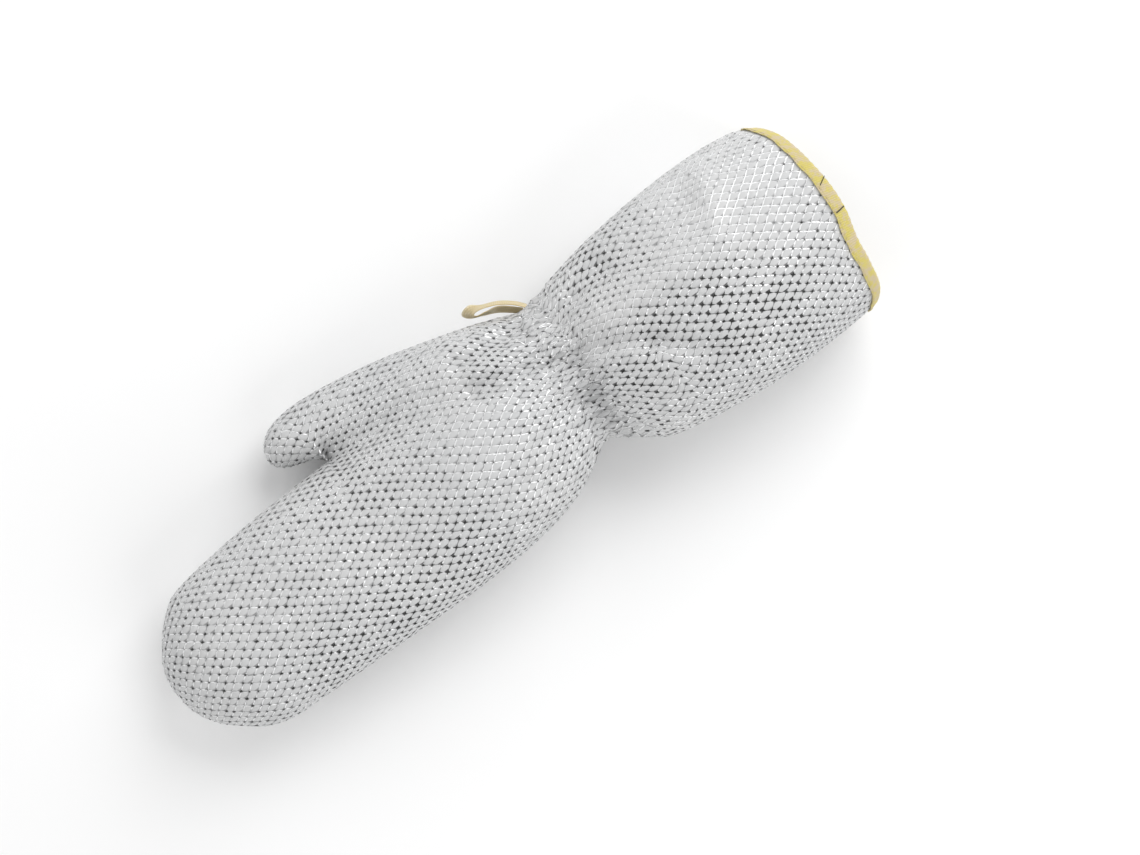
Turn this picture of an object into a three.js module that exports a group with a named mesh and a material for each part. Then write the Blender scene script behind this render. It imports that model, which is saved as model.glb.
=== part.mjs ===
// A long-cuffed dishwashing mitten of wire knit, lying on its palm, in millimetres, +Z up.
// Two knit panels are sewn edge to edge along the whole outline, a yellow tape binds the mouth,
// and a short elastic loop hangs from the thumb side of the gathered wrist.
// X runs towards the thumb, Y towards the fingertips.

import * as THREE from 'three';

// Driving dimensions

const MOUTH_Y = -154;
const CROTCH_Y = 74.5;
const HAND_TIP = { x: -0.5, y: 187.8 };
const THUMB_TIP = { x: 54.7, y: 96.1 };
const WALL = 2;
const SEAM_GAP = 0.3;
const CENTRE = { x: 9.05, y: 12 };

const HAND_COLUMNS = 13;
const THUMB_COLUMNS = 8;
const ROW_SPACING = { cuff: 7.5, wrist: 3.6, hand: 8, fingertips: 5.8, thumb: 3.5 };
const FINE_ROWS = { from: -66, to: 12 };

const BINDING = { depth: 4.5, tape: 0.9, gap: 0.36 };
const LOOP = { width: 4.6, thickness: 0.9, steps: 40, leansTo: new THREE.Vector3(0.86, -0.51, 0) };

const LOBE_POWER = 4;
const BACK_ROUNDNESS = 2.1;
const PALM_ROUNDNESS = 2.6;
const FLOOR_BLEND = 1.5;

// Outline of the sewn seam: one row for each section, from the mouth towards the fingertips.
// The valley is the line between hand and thumb, which ends at the crotch.

const BODY_OUTLINE = [
  { y: -154, left: -47.5, valley: 12, right: 42.5 },
  { y: -148, left: -49.0, valley: 12, right: 46.6 },
  { y: -140, left: -49.6, valley: 12, right: 48.6 },
  { y: -122, left: -50.0, valley: 12, right: 50.0 },
  { y: -102, left: -49.6, valley: 12, right: 49.9 },
  { y: -82, left: -47.4, valley: 13, right: 48.7 },
  { y: -64, left: -44.4, valley: 14, right: 46.6 },
  { y: -50, left: -40.6, valley: 16, right: 44.0 },
  { y: -38, left: -32.0, valley: 18, right: 40.9 },
  { y: -29, left: -25.2, valley: 20, right: 40.5 },
  { y: -20, left: -29.0, valley: 23, right: 44.6 },
  { y: -10, left: -34.8, valley: 26, right: 48.6 },
  { y: 5, left: -39.8, valley: 29, right: 53.6 },
  { y: 25, left: -42.9, valley: 32.5, right: 59.7 },
  { y: 45, left: -43.8, valley: 36, right: 64.4 },
  { y: 60, left: -43.9, valley: 38.3, right: 66.9 },
  { y: 74.5, left: -43.5, valley: 39.5, right: 68.1 },
];

const HAND_OUTLINE = [
  { y: 74.5, left: -43.5, right: 39.5 },
  { y: 90, left: -43.0, right: 39.2 },
  { y: 115, left: -42.1, right: 38.5 },
  { y: 138, left: -41.1, right: 36.9 },
  { y: 153, left: -40.2, right: 35.2 },
  { y: 163.6, left: -36.8, right: 32.9 },
  { y: 173, left: -29.8, right: 26.2 },
  { y: 180.6, left: -22.6, right: 17.8 },
  { y: 185.7, left: -14.0, right: 10.0 },
  { y: HAND_TIP.y, left: HAND_TIP.x, right: HAND_TIP.x },
];

const THUMB_OUTLINE = [
  { y: 74.5, left: 39.5, right: 68.1 },
  { y: 79, left: 43.4, right: 67.9 },
  { y: 85, left: 45.7, right: 66.8 },
  { y: 90.4, left: 47.7, right: 64.4 },
  { y: 94.3, left: 50.8, right: 60.4 },
  { y: THUMB_TIP.y, left: THUMB_TIP.x, right: THUMB_TIP.x },
];

// Height of the seam above the table on its three lines, and of the crown of each lobe above
// and below the seam: one row for each section. The web closes the notch between the lobes.

const SEAM_HEIGHT = [
  { y: -154, left: 35, valley: 37, right: 35 },
  { y: -110, left: 37, valley: 39, right: 37 },
  { y: -75, left: 36, valley: 37, right: 36 },
  { y: -50, left: 34, valley: 35, right: 34.5 },
  { y: -30, left: 32, valley: 33, right: 33 },
  { y: -10, left: 29, valley: 29.5, right: 28 },
  { y: 12, left: 27, valley: 25.5, right: 22.5 },
  { y: 40, left: 25.5, valley: 21.5, right: 18.5 },
  { y: 75, left: 25, valley: 18.5, right: 16.5 },
];
const HAND_SEAM_HEIGHT = [
  { y: 75, left: 25, right: 18.5 },
  { y: 105, left: 25, right: 23.5 },
  { y: 150, left: 24, right: 24 },
  { y: 187, left: 20.5, right: 20.5 },
];
const THUMB_SEAM_HEIGHT = [
  { y: 75, left: 18.5, right: 16.5 },
  { y: 96, left: 16.5, right: 16.5 },
];

const BACK_RISE = [
  { y: -154, hand: 36, thumb: 0, web: 0 },
  { y: -120, hand: 38, thumb: 0, web: 0 },
  { y: -95, hand: 37, thumb: 0, web: 0 },
  { y: -75, hand: 33, thumb: 0, web: 0 },
  { y: -58, hand: 28.5, thumb: 0, web: 0 },
  { y: -45, hand: 24, thumb: 1, web: 0 },
  { y: -32, hand: 21, thumb: 7, web: 4 },
  { y: -18, hand: 24.5, thumb: 16, web: 13 },
  { y: 0, hand: 31.5, thumb: 20.5, web: 21 },
  { y: 20, hand: 34.5, thumb: 19.5, web: 22.5 },
  { y: 45, hand: 34, thumb: 16.5, web: 21.5 },
  { y: 70, hand: 32, thumb: 14.4, web: 20 },
  { y: 90, hand: 30.5, thumb: 14, web: 20 },
  { y: 125, hand: 27.5, thumb: 14, web: 20 },
  { y: 187, hand: 25.5, thumb: 14, web: 20 },
];
const PALM_DROP = [
  { y: -154, hand: 33.7, thumb: 0, web: 0 },
  { y: -140, hand: 38, thumb: 0, web: 0 },
  { y: -95, hand: 39, thumb: 0, web: 0 },
  { y: -72, hand: 35, thumb: 0, web: 0 },
  { y: -55, hand: 28.5, thumb: 0, web: 0 },
  { y: -45, hand: 25, thumb: 1, web: 0 },
  { y: -32, hand: 21, thumb: 6, web: 4 },
  { y: -18, hand: 22, thumb: 15, web: 12 },
  { y: 0, hand: 26.5, thumb: 19.5, web: 18 },
  { y: 20, hand: 28.5, thumb: 18, web: 19 },
  { y: 45, hand: 28.5, thumb: 15, web: 17 },
  { y: 70, hand: 28.5, thumb: 13.4, web: 15 },
  { y: 187, hand: 28.5, thumb: 13.4, web: 15 },
];
const HAND_CLOSING_FROM = 148;
const THUMB_CLOSING_FROM = 72;
const WEB_CLOSING_FROM = 12;
const TIP_DROP = { from: 160, lift: 4 };

const HAND_LOBE_RIGHT = [
  { y: -29, right: 40.5 },
  { y: 0, right: 41 },
  { y: 40, right: 39.2 },
  { y: 74.5, right: 39.5 },
];
const THUMB_LOBE_HALF_WIDTH = [
  { y: -40, half: 19 },
  { y: -10, half: 16.6 },
  { y: 25, half: 14.8 },
  { y: 50, half: 13.5 },
  { y: 74.5, half: 12.7 },
];
const WEB_LOBE = { left: 26.2, right: 54.2 };
const THUMB_JOINS = { from: -40, to: -24 };
const VALLEY_COLUMNS_FROM = 20;

const MOUTH_BULGE = { reach: 8.4, power: 3, tilt: 0.15, fadesBy: -105 };
const MOUTH_LIFT = { height: 1.3, from: -143, to: -149 };

// Main folds and dents of the back, each a soft ridge (rise > 0) or valley along a line

const BACK_FOLDS = [
  { x1: 9, y1: 30, x2: 10, y2: 8, width: 17, rise: 2.2 },
  { x1: -20, y1: 76, x2: -18, y2: 12, width: 6, rise: -1.4 },
  { x1: 24, y1: 6, x2: 15, y2: -30, width: 4, rise: -3.4 },
  { x1: 38, y1: 4, x2: 35, y2: -24, width: 3.6, rise: -3.2 },
  { x1: 30, y1: 0, x2: 25, y2: -30, width: 3.2, rise: 2.2 },
  { x1: -28, y1: 6, x2: -7, y2: -29, width: 4, rise: -2.6 },
  { x1: -12, y1: 0, x2: -3, y2: -29, width: 3.4, rise: -2 },
  { x1: -20, y1: -6, x2: -11, y2: -24, width: 3.4, rise: 1.4 },
  { x1: 3, y1: -4, x2: 6, y2: -26, width: 4, rise: 1.6 },
  { x1: -14, y1: -30, x2: -5, y2: -35, width: 5, rise: -4.5 },
  { x1: 7, y1: -34, x2: 11, y2: -41, width: 5, rise: -4.5 },
  { x1: 26, y1: -41, x2: 30, y2: -51, width: 4.6, rise: -4.5 },
  { x1: 33, y1: -57, x2: 36, y2: -67, width: 5, rise: -2.6 },
  { x1: 7.5, y1: -49, x2: -4, y2: -67, width: 3.4, rise: -2.4 },
  { x1: -4, y1: -67, x2: -23, y2: -85, width: 3.6, rise: -2 },
  { x1: 15, y1: -56, x2: 14, y2: -112, width: 5.5, rise: 2.6 },
  { x1: 32, y1: -64, x2: 34, y2: -110, width: 9, rise: -3.6 },
  { x1: 19, y1: -116, x2: 44, y2: -127, width: 6, rise: 2 },
  { x1: -2, y1: -72, x2: -2, y2: -140, width: 8, rise: -1.8 },
  { x1: -34, y1: 163, x2: -14, y2: 182, width: 5, rise: -1.6 },
];
const FOLD_FADE = 12;
const WRIST_RIPPLE = { y: -32, length: 14, spread: 15, back: 0.6, palm: 2 };

// Hanging loop: centre line and the direction across the band, one row for each station

const LOOP_PATH = [
  { x: 41.7, y: -33.6, z: 34.0, lean: 30 },
  { x: 45.0, y: -30.4, z: 36.8, lean: 30 },
  { x: 48.9, y: -25.2, z: 38.0, lean: 30 },
  { x: 51.6, y: -19.0, z: 37.0, lean: 36 },
  { x: 53.2, y: -13.6, z: 34.0, lean: 48 },
  { x: 52.6, y: -11.6, z: 30.2, lean: 56 },
  { x: 50.6, y: -13.6, z: 27.0, lean: 40 },
  { x: 49.0, y: -18.4, z: 26.0, lean: 28 },
  { x: 46.6, y: -24.6, z: 26.6, lean: 22 },
  { x: 42.6, y: -29.4, z: 28.6, lean: 18 },
];

const COLOURS = {
  knit: { color: 0xc6c8ca, roughness: 0.6, metalness: 0.3 },
  binding: { color: 0xe2d184, roughness: 0.8, metalness: 0 },
  loop: { color: 0xd2bb6c, roughness: 0.75, metalness: 0 },
};

// Smooth curves through the tables

/** Curve through (position, value) pairs, with the slope at each one from its neighbours. */
function smoothCurve(positions, values) {
  const last = positions.length - 1;
  const slopeBetween = (i) => (values[i + 1] - values[i]) / (positions[i + 1] - positions[i]);
  const slopes = positions.map((_, i) => {
    if (i === 0) return slopeBetween(0);
    if (i === last) return slopeBetween(last - 1);
    const before = positions[i] - positions[i - 1];
    const after = positions[i + 1] - positions[i];
    return (slopeBetween(i - 1) * after + slopeBetween(i) * before) / (before + after);
  });
  return (position) => {
    const clamped = Math.min(Math.max(position, positions[0]), positions[last]);
    let i = 0;
    while (i < last - 1 && clamped > positions[i + 1]) i += 1;
    const step = positions[i + 1] - positions[i];
    const s = (clamped - positions[i]) / step;
    const rise = s * s * (3 - 2 * s);
    return values[i] * (1 - rise) + values[i + 1] * rise
      + slopes[i] * step * s * (1 - s) ** 2 - slopes[i + 1] * step * s * s * (1 - s);
  };
}

/** Curves through the named columns of a table, by its column y. */
function curvesByY(table, ...columns) {
  const positions = table.map((row) => row.y);
  return Object.fromEntries(columns.map((name) => [
    name,
    smoothCurve(positions, table.map((row) => row[name])),
  ]));
}

/** Distances along the seam to each row of a tip table, going on from the crotch. */
function stationsAlong(table, side) {
  const stations = [CROTCH_Y];
  for (let i = 1; i < table.length; i += 1) {
    const across = table[i][side] - table[i - 1][side];
    stations.push(stations[i - 1] + Math.hypot(table[i].y - table[i - 1].y, across));
  }
  return stations;
}

/** Sections of a tip, by the distance along its outer seam. */
function tipSections(table, outerSide, innerSide) {
  const stations = stationsAlong(table, outerSide);
  const bodyStations = BODY_OUTLINE.slice(0, -1).map((row) => row.y);
  const whole = [...bodyStations, ...stations];
  const bodyOuter = BODY_OUTLINE.slice(0, -1).map((row) => row[outerSide]);
  return {
    end: stations[stations.length - 1],
    y: smoothCurve(whole, [...bodyStations, ...table.map((row) => row.y)]),
    outer: smoothCurve(whole, [...bodyOuter, ...table.map((row) => row[outerSide])]),
    inner: smoothCurve(stations, table.map((row) => row[innerSide])),
  };
}

const hand = tipSections(HAND_OUTLINE, 'left', 'right');
const thumb = tipSections(THUMB_OUTLINE, 'right', 'left');
const valleyLine = curvesByY(BODY_OUTLINE, 'valley').valley;
const bodySeam = curvesByY(SEAM_HEIGHT, 'left', 'valley', 'right');
const handSeam = curvesByY(HAND_SEAM_HEIGHT, 'left', 'right');
const thumbSeam = curvesByY(THUMB_SEAM_HEIGHT, 'left', 'right');
const backRise = curvesByY(BACK_RISE, 'hand', 'thumb', 'web');
const palmDrop = curvesByY(PALM_DROP, 'hand', 'thumb', 'web');
const handLobeRight = curvesByY(HAND_LOBE_RIGHT, 'right').right;
const thumbLobeHalfWidth = curvesByY(THUMB_LOBE_HALF_WIDTH, 'half').half;

// Sections across the mitten

const mix = (a, b, t) => a + (b - a) * t;
const smoothStep = (from, to, value) => {
  const t = Math.min(Math.max((value - from) / (to - from), 0), 1);
  return t * t * (3 - 2 * t);
};

/** Part of a section: the seam lines and seam heights that one group of columns spans. */
function sectionPart(group, station) {
  if (station <= CROTCH_Y) {
    const y = station;
    const valley = { x: valleyLine(y), z: bodySeam.valley(y) };
    if (group === 'hand') {
      return { y, from: { x: hand.outer(y), z: bodySeam.left(y) }, to: valley };
    }
    return { y, from: valley, to: { x: thumb.outer(y), z: bodySeam.right(y) } };
  }
  if (group === 'hand') {
    const y = hand.y(station);
    return {
      y,
      from: { x: hand.outer(station), z: handSeam.left(y) },
      to: { x: hand.inner(station), z: handSeam.right(y) },
    };
  }
  const y = thumb.y(station);
  return {
    y,
    from: { x: thumb.inner(station), z: thumbSeam.left(y) },
    to: { x: thumb.outer(station), z: thumbSeam.right(y) },
  };
}

/** How much of a lobe's crown is left at y, for a lobe that closes like an ellipse. */
function closing(y, from, tip) {
  const t = Math.min(Math.max((y - from) / (tip - from), 0), 1);
  return Math.sqrt(1 - t * t);
}

/** Height of one rounded lobe at x, as a share of its crown. */
function lobe(x, left, right, roundness) {
  const t = right > left ? Math.min(Math.abs((2 * x - left - right) / (right - left)), 1) : 1;
  return (1 - t ** roundness) ** (1 / roundness);
}

/** Thumb side of the hand's lobe below the crotch: the seam itself as far as the wrist. */
function handLobeEnd(y) {
  const seam = thumb.outer(y);
  const own = Math.min(handLobeRight(y), seam);
  return mix(seam, own, smoothStep(THUMB_JOINS.from, THUMB_JOINS.to, y));
}

/** Distance of the panel from the seam's level at one place: the blend of its lobes. */
function panelHeight(group, station, y, x, part, crowns, roundness) {
  const aboveCrotch = station > CROTCH_Y;
  const lobes = [];
  if (group === 'hand' || !aboveCrotch) {
    const left = aboveCrotch ? part.from.x : hand.outer(station);
    const right = aboveCrotch ? part.to.x : handLobeEnd(y);
    const crown = crowns.hand(y) * closing(y, HAND_CLOSING_FROM, HAND_TIP.y);
    lobes.push(crown * lobe(x, left, right, roundness));
  }
  if (group === 'thumb' || !aboveCrotch) {
    const right = aboveCrotch ? part.to.x : thumb.outer(station);
    const left = aboveCrotch ? part.from.x : right - 2 * thumbLobeHalfWidth(y);
    const crown = crowns.thumb(y) * closing(y, THUMB_CLOSING_FROM, THUMB_TIP.y);
    lobes.push(crown * lobe(x, left, right, roundness));
  }
  if (!aboveCrotch) {
    const crown = crowns.web(y) * closing(y, WEB_CLOSING_FROM, CROTCH_Y);
    const right = Math.min(WEB_LOBE.right, thumb.outer(station));
    lobes.push(crown * lobe(x, WEB_LOBE.left, right, roundness));
  }
  const sum = lobes.reduce((total, height) => total + height ** LOBE_POWER, 0);
  return sum ** (1 / LOBE_POWER);
}

/** Rise of all folds of the back at one place. */
function foldRise(x, y) {
  return BACK_FOLDS.reduce((total, fold) => {
    const along = { x: fold.x2 - fold.x1, y: fold.y2 - fold.y1 };
    const length2 = along.x ** 2 + along.y ** 2;
    const part = ((x - fold.x1) * along.x + (y - fold.y1) * along.y) / length2;
    const t = Math.min(Math.max(part, 0), 1);
    const away = Math.hypot(x - fold.x1 - t * along.x, y - fold.y1 - t * along.y);
    return total + fold.rise * Math.exp(-((away / fold.width) ** 2));
  }, 0);
}

/** Gathers that run through the wrist, as a wave across it. */
function wristRipple(x, y, amount) {
  const { y: centre, length, spread } = WRIST_RIPPLE;
  return amount * Math.sin((2 * Math.PI * x) / length) * Math.exp(-(((y - centre) / spread) ** 2));
}

/** The larger of a height and a floor, blended over a small step. */
function restOn(height, floor) {
  const above = height - floor;
  if (above < -FLOOR_BLEND) return floor;
  if (above > FLOOR_BLEND) return height;
  return floor + (above + FLOOR_BLEND) ** 2 / (4 * FLOOR_BLEND);
}

/** Place on a panel's outer face, with the seam's level there: share runs from 0 to 1. */
function panelPoint(panel, group, station, share) {
  const part = sectionPart(group, station);
  const x = mix(part.from.x, part.to.x, share);
  const seamZ = mix(part.from.z, part.to.z, share);
  const flat = part.y;
  const height = panelHeight(
    group, station, flat, x, part,
    panel === 'back' ? backRise : palmDrop,
    panel === 'back' ? BACK_ROUNDNESS : PALM_ROUNDNESS,
  );
  const across = (2 * x - hand.outer(MOUTH_Y) - thumb.outer(MOUTH_Y))
    / (thumb.outer(MOUTH_Y) - hand.outer(MOUTH_Y));
  const bulge = MOUTH_BULGE.reach * (1 + MOUTH_BULGE.tilt * across)
    * Math.max(0, 1 - Math.abs(across) ** MOUTH_BULGE.power)
    * (1 - smoothStep(MOUTH_Y, MOUTH_BULGE.fadesBy, flat));
  const y = flat - bulge;
  const fade = smoothStep(0, FOLD_FADE, height);
  if (panel === 'back') {
    const folds = foldRise(x, y) + wristRipple(x, y, WRIST_RIPPLE.back);
    return { point: new THREE.Vector3(x, y, seamZ + height + fade * folds), seamZ };
  }
  const floor = MOUTH_LIFT.height * (1 - smoothStep(MOUTH_LIFT.to, MOUTH_LIFT.from, flat));
  const tipLift = TIP_DROP.lift * smoothStep(TIP_DROP.from, HAND_TIP.y, flat);
  const z = seamZ - height + fade * (wristRipple(x, y, WRIST_RIPPLE.palm) + tipLift);
  return { point: new THREE.Vector3(x, y, restOn(z, floor)), seamZ };
}

// Grids of points

/** Shares across a group of columns, closer together at a seam. */
function columnShares(count, seamAtStart, seamAtEnd) {
  const shares = [];
  for (let i = 0; i <= count; i += 1) {
    const s = i / count;
    const bothEnds = (1 - Math.cos(Math.PI * s)) / 2;
    const oneEnd = seamAtStart ? 1 - Math.cos((Math.PI * s) / 2) : Math.sin((Math.PI * s) / 2);
    shares.push(mix(oneEnd, bothEnds, seamAtStart ? seamAtEnd : seamAtStart));
  }
  return shares;
}

/** Rows from one station to another, evenly spread or closing up towards the end. */
function rowStations(from, to, spacing, closesUp = false) {
  const count = Math.max(2, Math.round(Math.abs(to - from) / spacing));
  return Array.from({ length: count }, (_, i) => {
    const s = (i + 1) / count;
    return mix(from, to, closesUp ? Math.sin((Math.PI * s) / 2) : s);
  });
}

const BODY_STATIONS = [
  MOUTH_Y,
  MOUTH_Y + BINDING.depth,
  ...rowStations(MOUTH_Y + BINDING.depth, FINE_ROWS.from, ROW_SPACING.cuff),
  ...rowStations(FINE_ROWS.from, FINE_ROWS.to, ROW_SPACING.wrist),
  ...rowStations(FINE_ROWS.to, CROTCH_Y, ROW_SPACING.cuff),
];
const HAND_STATIONS = [
  ...rowStations(CROTCH_Y, HAND_CLOSING_FROM, ROW_SPACING.hand),
  ...rowStations(HAND_CLOSING_FROM, hand.end, ROW_SPACING.fingertips, true),
];
const THUMB_STATIONS = rowStations(CROTCH_Y, thumb.end, ROW_SPACING.thumb);

/** Builds one panel's wall: an outer grid, an inner grid one wall in, and the rims between. */
class Panel {
  constructor(name) {
    this.name = name;
    this.side = name === 'back' ? 1 : -1;
    this.points = [];
    this.seamLevels = [];
    this.faces = [];
    this.mouthRows = [];
    this.build();
    this.inset();
  }

  row(group, station) {
    const nearCrotch = smoothStep(VALLEY_COLUMNS_FROM, CROTCH_Y, station);
    const count = group === 'hand' ? HAND_COLUMNS : THUMB_COLUMNS;
    const shares = group === 'hand'
      ? columnShares(count, 1, nearCrotch)
      : columnShares(count, nearCrotch, 1);
    return shares.map((share) => this.addPoint(group, station, share));
  }

  addPoint(group, station, share) {
    const { point, seamZ } = panelPoint(this.name, group, station, share);
    this.points.push(point);
    this.seamLevels.push(seamZ + (this.side * SEAM_GAP) / 2);
    return this.points.length - 1;
  }

  strip(lower, upper) {
    for (let i = 0; i + 1 < lower.length; i += 1) {
      const b = upper.length === 1 ? upper[0] : upper[i];
      const c = upper.length === 1 ? upper[0] : upper[i + 1];
      this.faces.push([lower[i], lower[i + 1], c]);
      if (b !== c) this.faces.push([lower[i], c, b]);
    }
  }

  tip(group, stations, lowerRow) {
    let lower = lowerRow;
    stations.forEach((station, i) => {
      const isTip = i === stations.length - 1;
      const upper = isTip ? [this.addPoint(group, station, 0.5)] : this.row(group, station);
      this.strip(lower, upper);
      lower = upper;
    });
  }

  build() {
    let lower = null;
    BODY_STATIONS.forEach((station, i) => {
      const handPart = this.row('hand', station);
      const thumbPart = this.row('thumb', station).slice(1);
      const row = [...handPart, ...thumbPart];
      if (i < 2) this.mouthRows.push(row);
      if (lower) this.strip(lower, row);
      lower = row;
    });
    this.tip('hand', HAND_STATIONS, lower.slice(0, HAND_COLUMNS + 1));
    this.tip('thumb', THUMB_STATIONS, lower.slice(HAND_COLUMNS));
    if (this.name === 'palm') this.faces.forEach((face) => face.reverse());
  }

  /** Edges that belong to one face only, in that face's direction. */
  rimEdges() {
    const seen = new Map();
    this.faces.forEach(([a, b, c]) => {
      [[a, b], [b, c], [c, a]].forEach(([from, to]) => {
        const twin = `${to},${from}`;
        if (seen.has(twin)) seen.delete(twin);
        else seen.set(`${from},${to}`, [from, to]);
      });
    });
    return [...seen.values()];
  }

  /** Moves a point back to this panel's side of the seam, half a gap off it. */
  keepOnSide(point, i) {
    if (this.side * (point.z - this.seamLevels[i]) < 0) point.z = this.seamLevels[i];
    return point;
  }

  inset() {
    this.rim = this.rimEdges();
    this.normals = this.points.map(() => new THREE.Vector3());
    this.faces.forEach((face) => {
      const [a, b, c] = face.map((i) => this.points[i]);
      const normal = b.clone().sub(a).cross(c.clone().sub(a));
      face.forEach((i) => this.normals[i].add(normal));
    });
    const mouth = this.mouthRows[0];
    new Set(this.rim.flat()).forEach((i) => {
      const onSeam = !mouth.includes(i) || i === mouth[0] || i === mouth.at(-1);
      if (onSeam) this.normals[i].setZ(0);
      if (mouth.includes(i)) this.normals[i].setY(0);
    });
    this.normals.forEach((normal) => normal.normalize());
    this.points.forEach((point, i) => this.keepOnSide(point, i));
    this.inner = this.points.map((point, i) => this.keepOnSide(
      point.clone().addScaledVector(this.normals[i], -WALL),
      i,
    ));
  }

  geometry() {
    const offset = this.points.length;
    const triangles = [...this.faces];
    this.faces.forEach(([a, b, c]) => triangles.push([c + offset, b + offset, a + offset]));
    this.rim.forEach(([from, to]) => {
      triangles.push([to, from, from + offset]);
      triangles.push([to, from + offset, to + offset]);
    });
    return solidGeometry([...this.points, ...this.inner], triangles);
  }
}

/** Geometry of a closed body from its points and triangles, leaving out unused points. */
function solidGeometry(points, triangles) {
  const numbers = new Map();
  const positions = [];
  const index = triangles.flat().map((i) => {
    if (!numbers.has(i)) {
      numbers.set(i, numbers.size);
      positions.push(points[i].x, points[i].y, points[i].z);
    }
    return numbers.get(i);
  });
  const geometry = new THREE.BufferGeometry();
  geometry.setAttribute('position', new THREE.Float32BufferAttribute(positions, 3));
  geometry.setIndex(index);
  geometry.computeVertexNormals();
  return geometry;
}

/** Sweeps a ring of points along stations, joined end to start or closed with flat caps. */
function sweptGeometry(rings, joined) {
  const size = rings[0].length;
  const triangles = [];
  const count = joined ? rings.length : rings.length - 1;
  for (let i = 0; i < count; i += 1) {
    const next = (i + 1) % rings.length;
    for (let j = 0; j < size; j += 1) {
      const k = (j + 1) % size;
      triangles.push([i * size + j, next * size + j, next * size + k]);
      triangles.push([i * size + j, next * size + k, i * size + k]);
    }
  }
  if (!joined) {
    const end = (rings.length - 1) * size;
    for (let j = 1; j + 1 < size; j += 1) {
      triangles.push([0, j, j + 1]);
      triangles.push([end, end + j + 1, end + j]);
    }
  }
  return solidGeometry(rings.flat(), triangles);
}

/** The folded tape round the mouth: a U over both faces of the wall, a small gap off it. */
function bindingGeometry(back, palm) {
  const station = (panel, column) => {
    const [edge, deep] = panel.mouthRows.map((row) => row[column]);
    return {
      edgeOut: panel.points[edge],
      edgeIn: panel.inner[edge],
      edgeNormal: panel.normals[edge],
      deepOut: panel.points[deep],
      deepIn: panel.inner[deep],
      deepNormal: panel.normals[deep],
    };
  };
  const last = back.mouthRows[0].length - 1;
  const stations = [];
  for (let i = 0; i <= last; i += 1) stations.push(station(back, i));
  for (let i = last - 1; i > 0; i -= 1) stations.push(station(palm, i));
  const rings = stations.map((at) => {
    const outwards = new THREE.Vector3().subVectors(at.edgeOut, at.deepOut).normalize();
    const place = (point, normal, away, beyond) => point.clone()
      .addScaledVector(normal, away)
      .addScaledVector(outwards, beyond);
    const near = BINDING.gap;
    const far = BINDING.gap + BINDING.tape;
    return [
      place(at.deepOut, at.deepNormal, near, 0),
      place(at.edgeOut, at.edgeNormal, near, near),
      place(at.edgeIn, at.edgeNormal, -near, near),
      place(at.deepIn, at.deepNormal, -near, 0),
      place(at.deepIn, at.deepNormal, -far, 0),
      place(at.edgeIn, at.edgeNormal, -far, far),
      place(at.edgeOut, at.edgeNormal, far, far),
      place(at.deepOut, at.deepNormal, far, 0),
    ];
  });
  rings.flat().forEach((point) => { point.z = Math.max(point.z, 0); });
  return sweptGeometry(rings, true);
}

/** The hanging loop: a flat band along its own curve. */
function loopGeometry() {
  const path = new THREE.CatmullRomCurve3(
    LOOP_PATH.map(({ x, y, z }) => new THREE.Vector3(x, y, z)),
    false,
    'centripetal',
  );
  const lean = smoothCurve(LOOP_PATH.map((_, i) => i), LOOP_PATH.map((row) => row.lean));
  const rings = [];
  for (let i = 0; i <= LOOP.steps; i += 1) {
    const t = i / LOOP.steps;
    const centre = path.getPoint(t);
    const along = path.getTangent(t);
    const angle = THREE.MathUtils.degToRad(lean(t * (LOOP_PATH.length - 1)));
    const across = new THREE.Vector3(0, 0, Math.cos(angle))
      .addScaledVector(LOOP.leansTo, Math.sin(angle));
    across.addScaledVector(along, -across.dot(along)).normalize();
    const through = new THREE.Vector3().crossVectors(along, across);
    const corner = (a, b) => centre.clone()
      .addScaledVector(across, (a * LOOP.width) / 2)
      .addScaledVector(through, (b * LOOP.thickness) / 2);
    rings.push([corner(-1, -1), corner(-1, 1), corner(1, 1), corner(1, -1)]);
  }
  return sweptGeometry(rings, false);
}

function namedMesh(name, geometry, finish) {
  const mesh = new THREE.Mesh(geometry, new THREE.MeshStandardMaterial(finish));
  mesh.name = name;
  return mesh;
}

const back = new Panel('back');
const palm = new Panel('palm');

const group = new THREE.Group();
group.name = 'dishwashing_mitten';
group.position.set(-CENTRE.x, -CENTRE.y, 0);
group.add(
  namedMesh('back_panel', back.geometry(), COLOURS.knit),
  namedMesh('palm_panel', palm.geometry(), COLOURS.knit),
  namedMesh('cuff_binding', bindingGeometry(back, palm), COLOURS.binding),
  namedMesh('hang_loop', loopGeometry(), COLOURS.loop),
);

export default group;
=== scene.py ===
"""A long-cuffed dishwashing mitten of wire knit, lying on its palm.

Two knit panels of pale ground cloth stand up in pads through a net of flat metal yarn. They are
sewn edge to edge, a yellow tape binds the mouth, and an ochre band hangs from the wrist seam.
Sizes are in millimetres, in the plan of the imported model, until a mesh is made in metres.
"""

import logging
import math
from dataclasses import dataclass
from enum import Enum
from typing import Any, Iterable, Sequence

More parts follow.
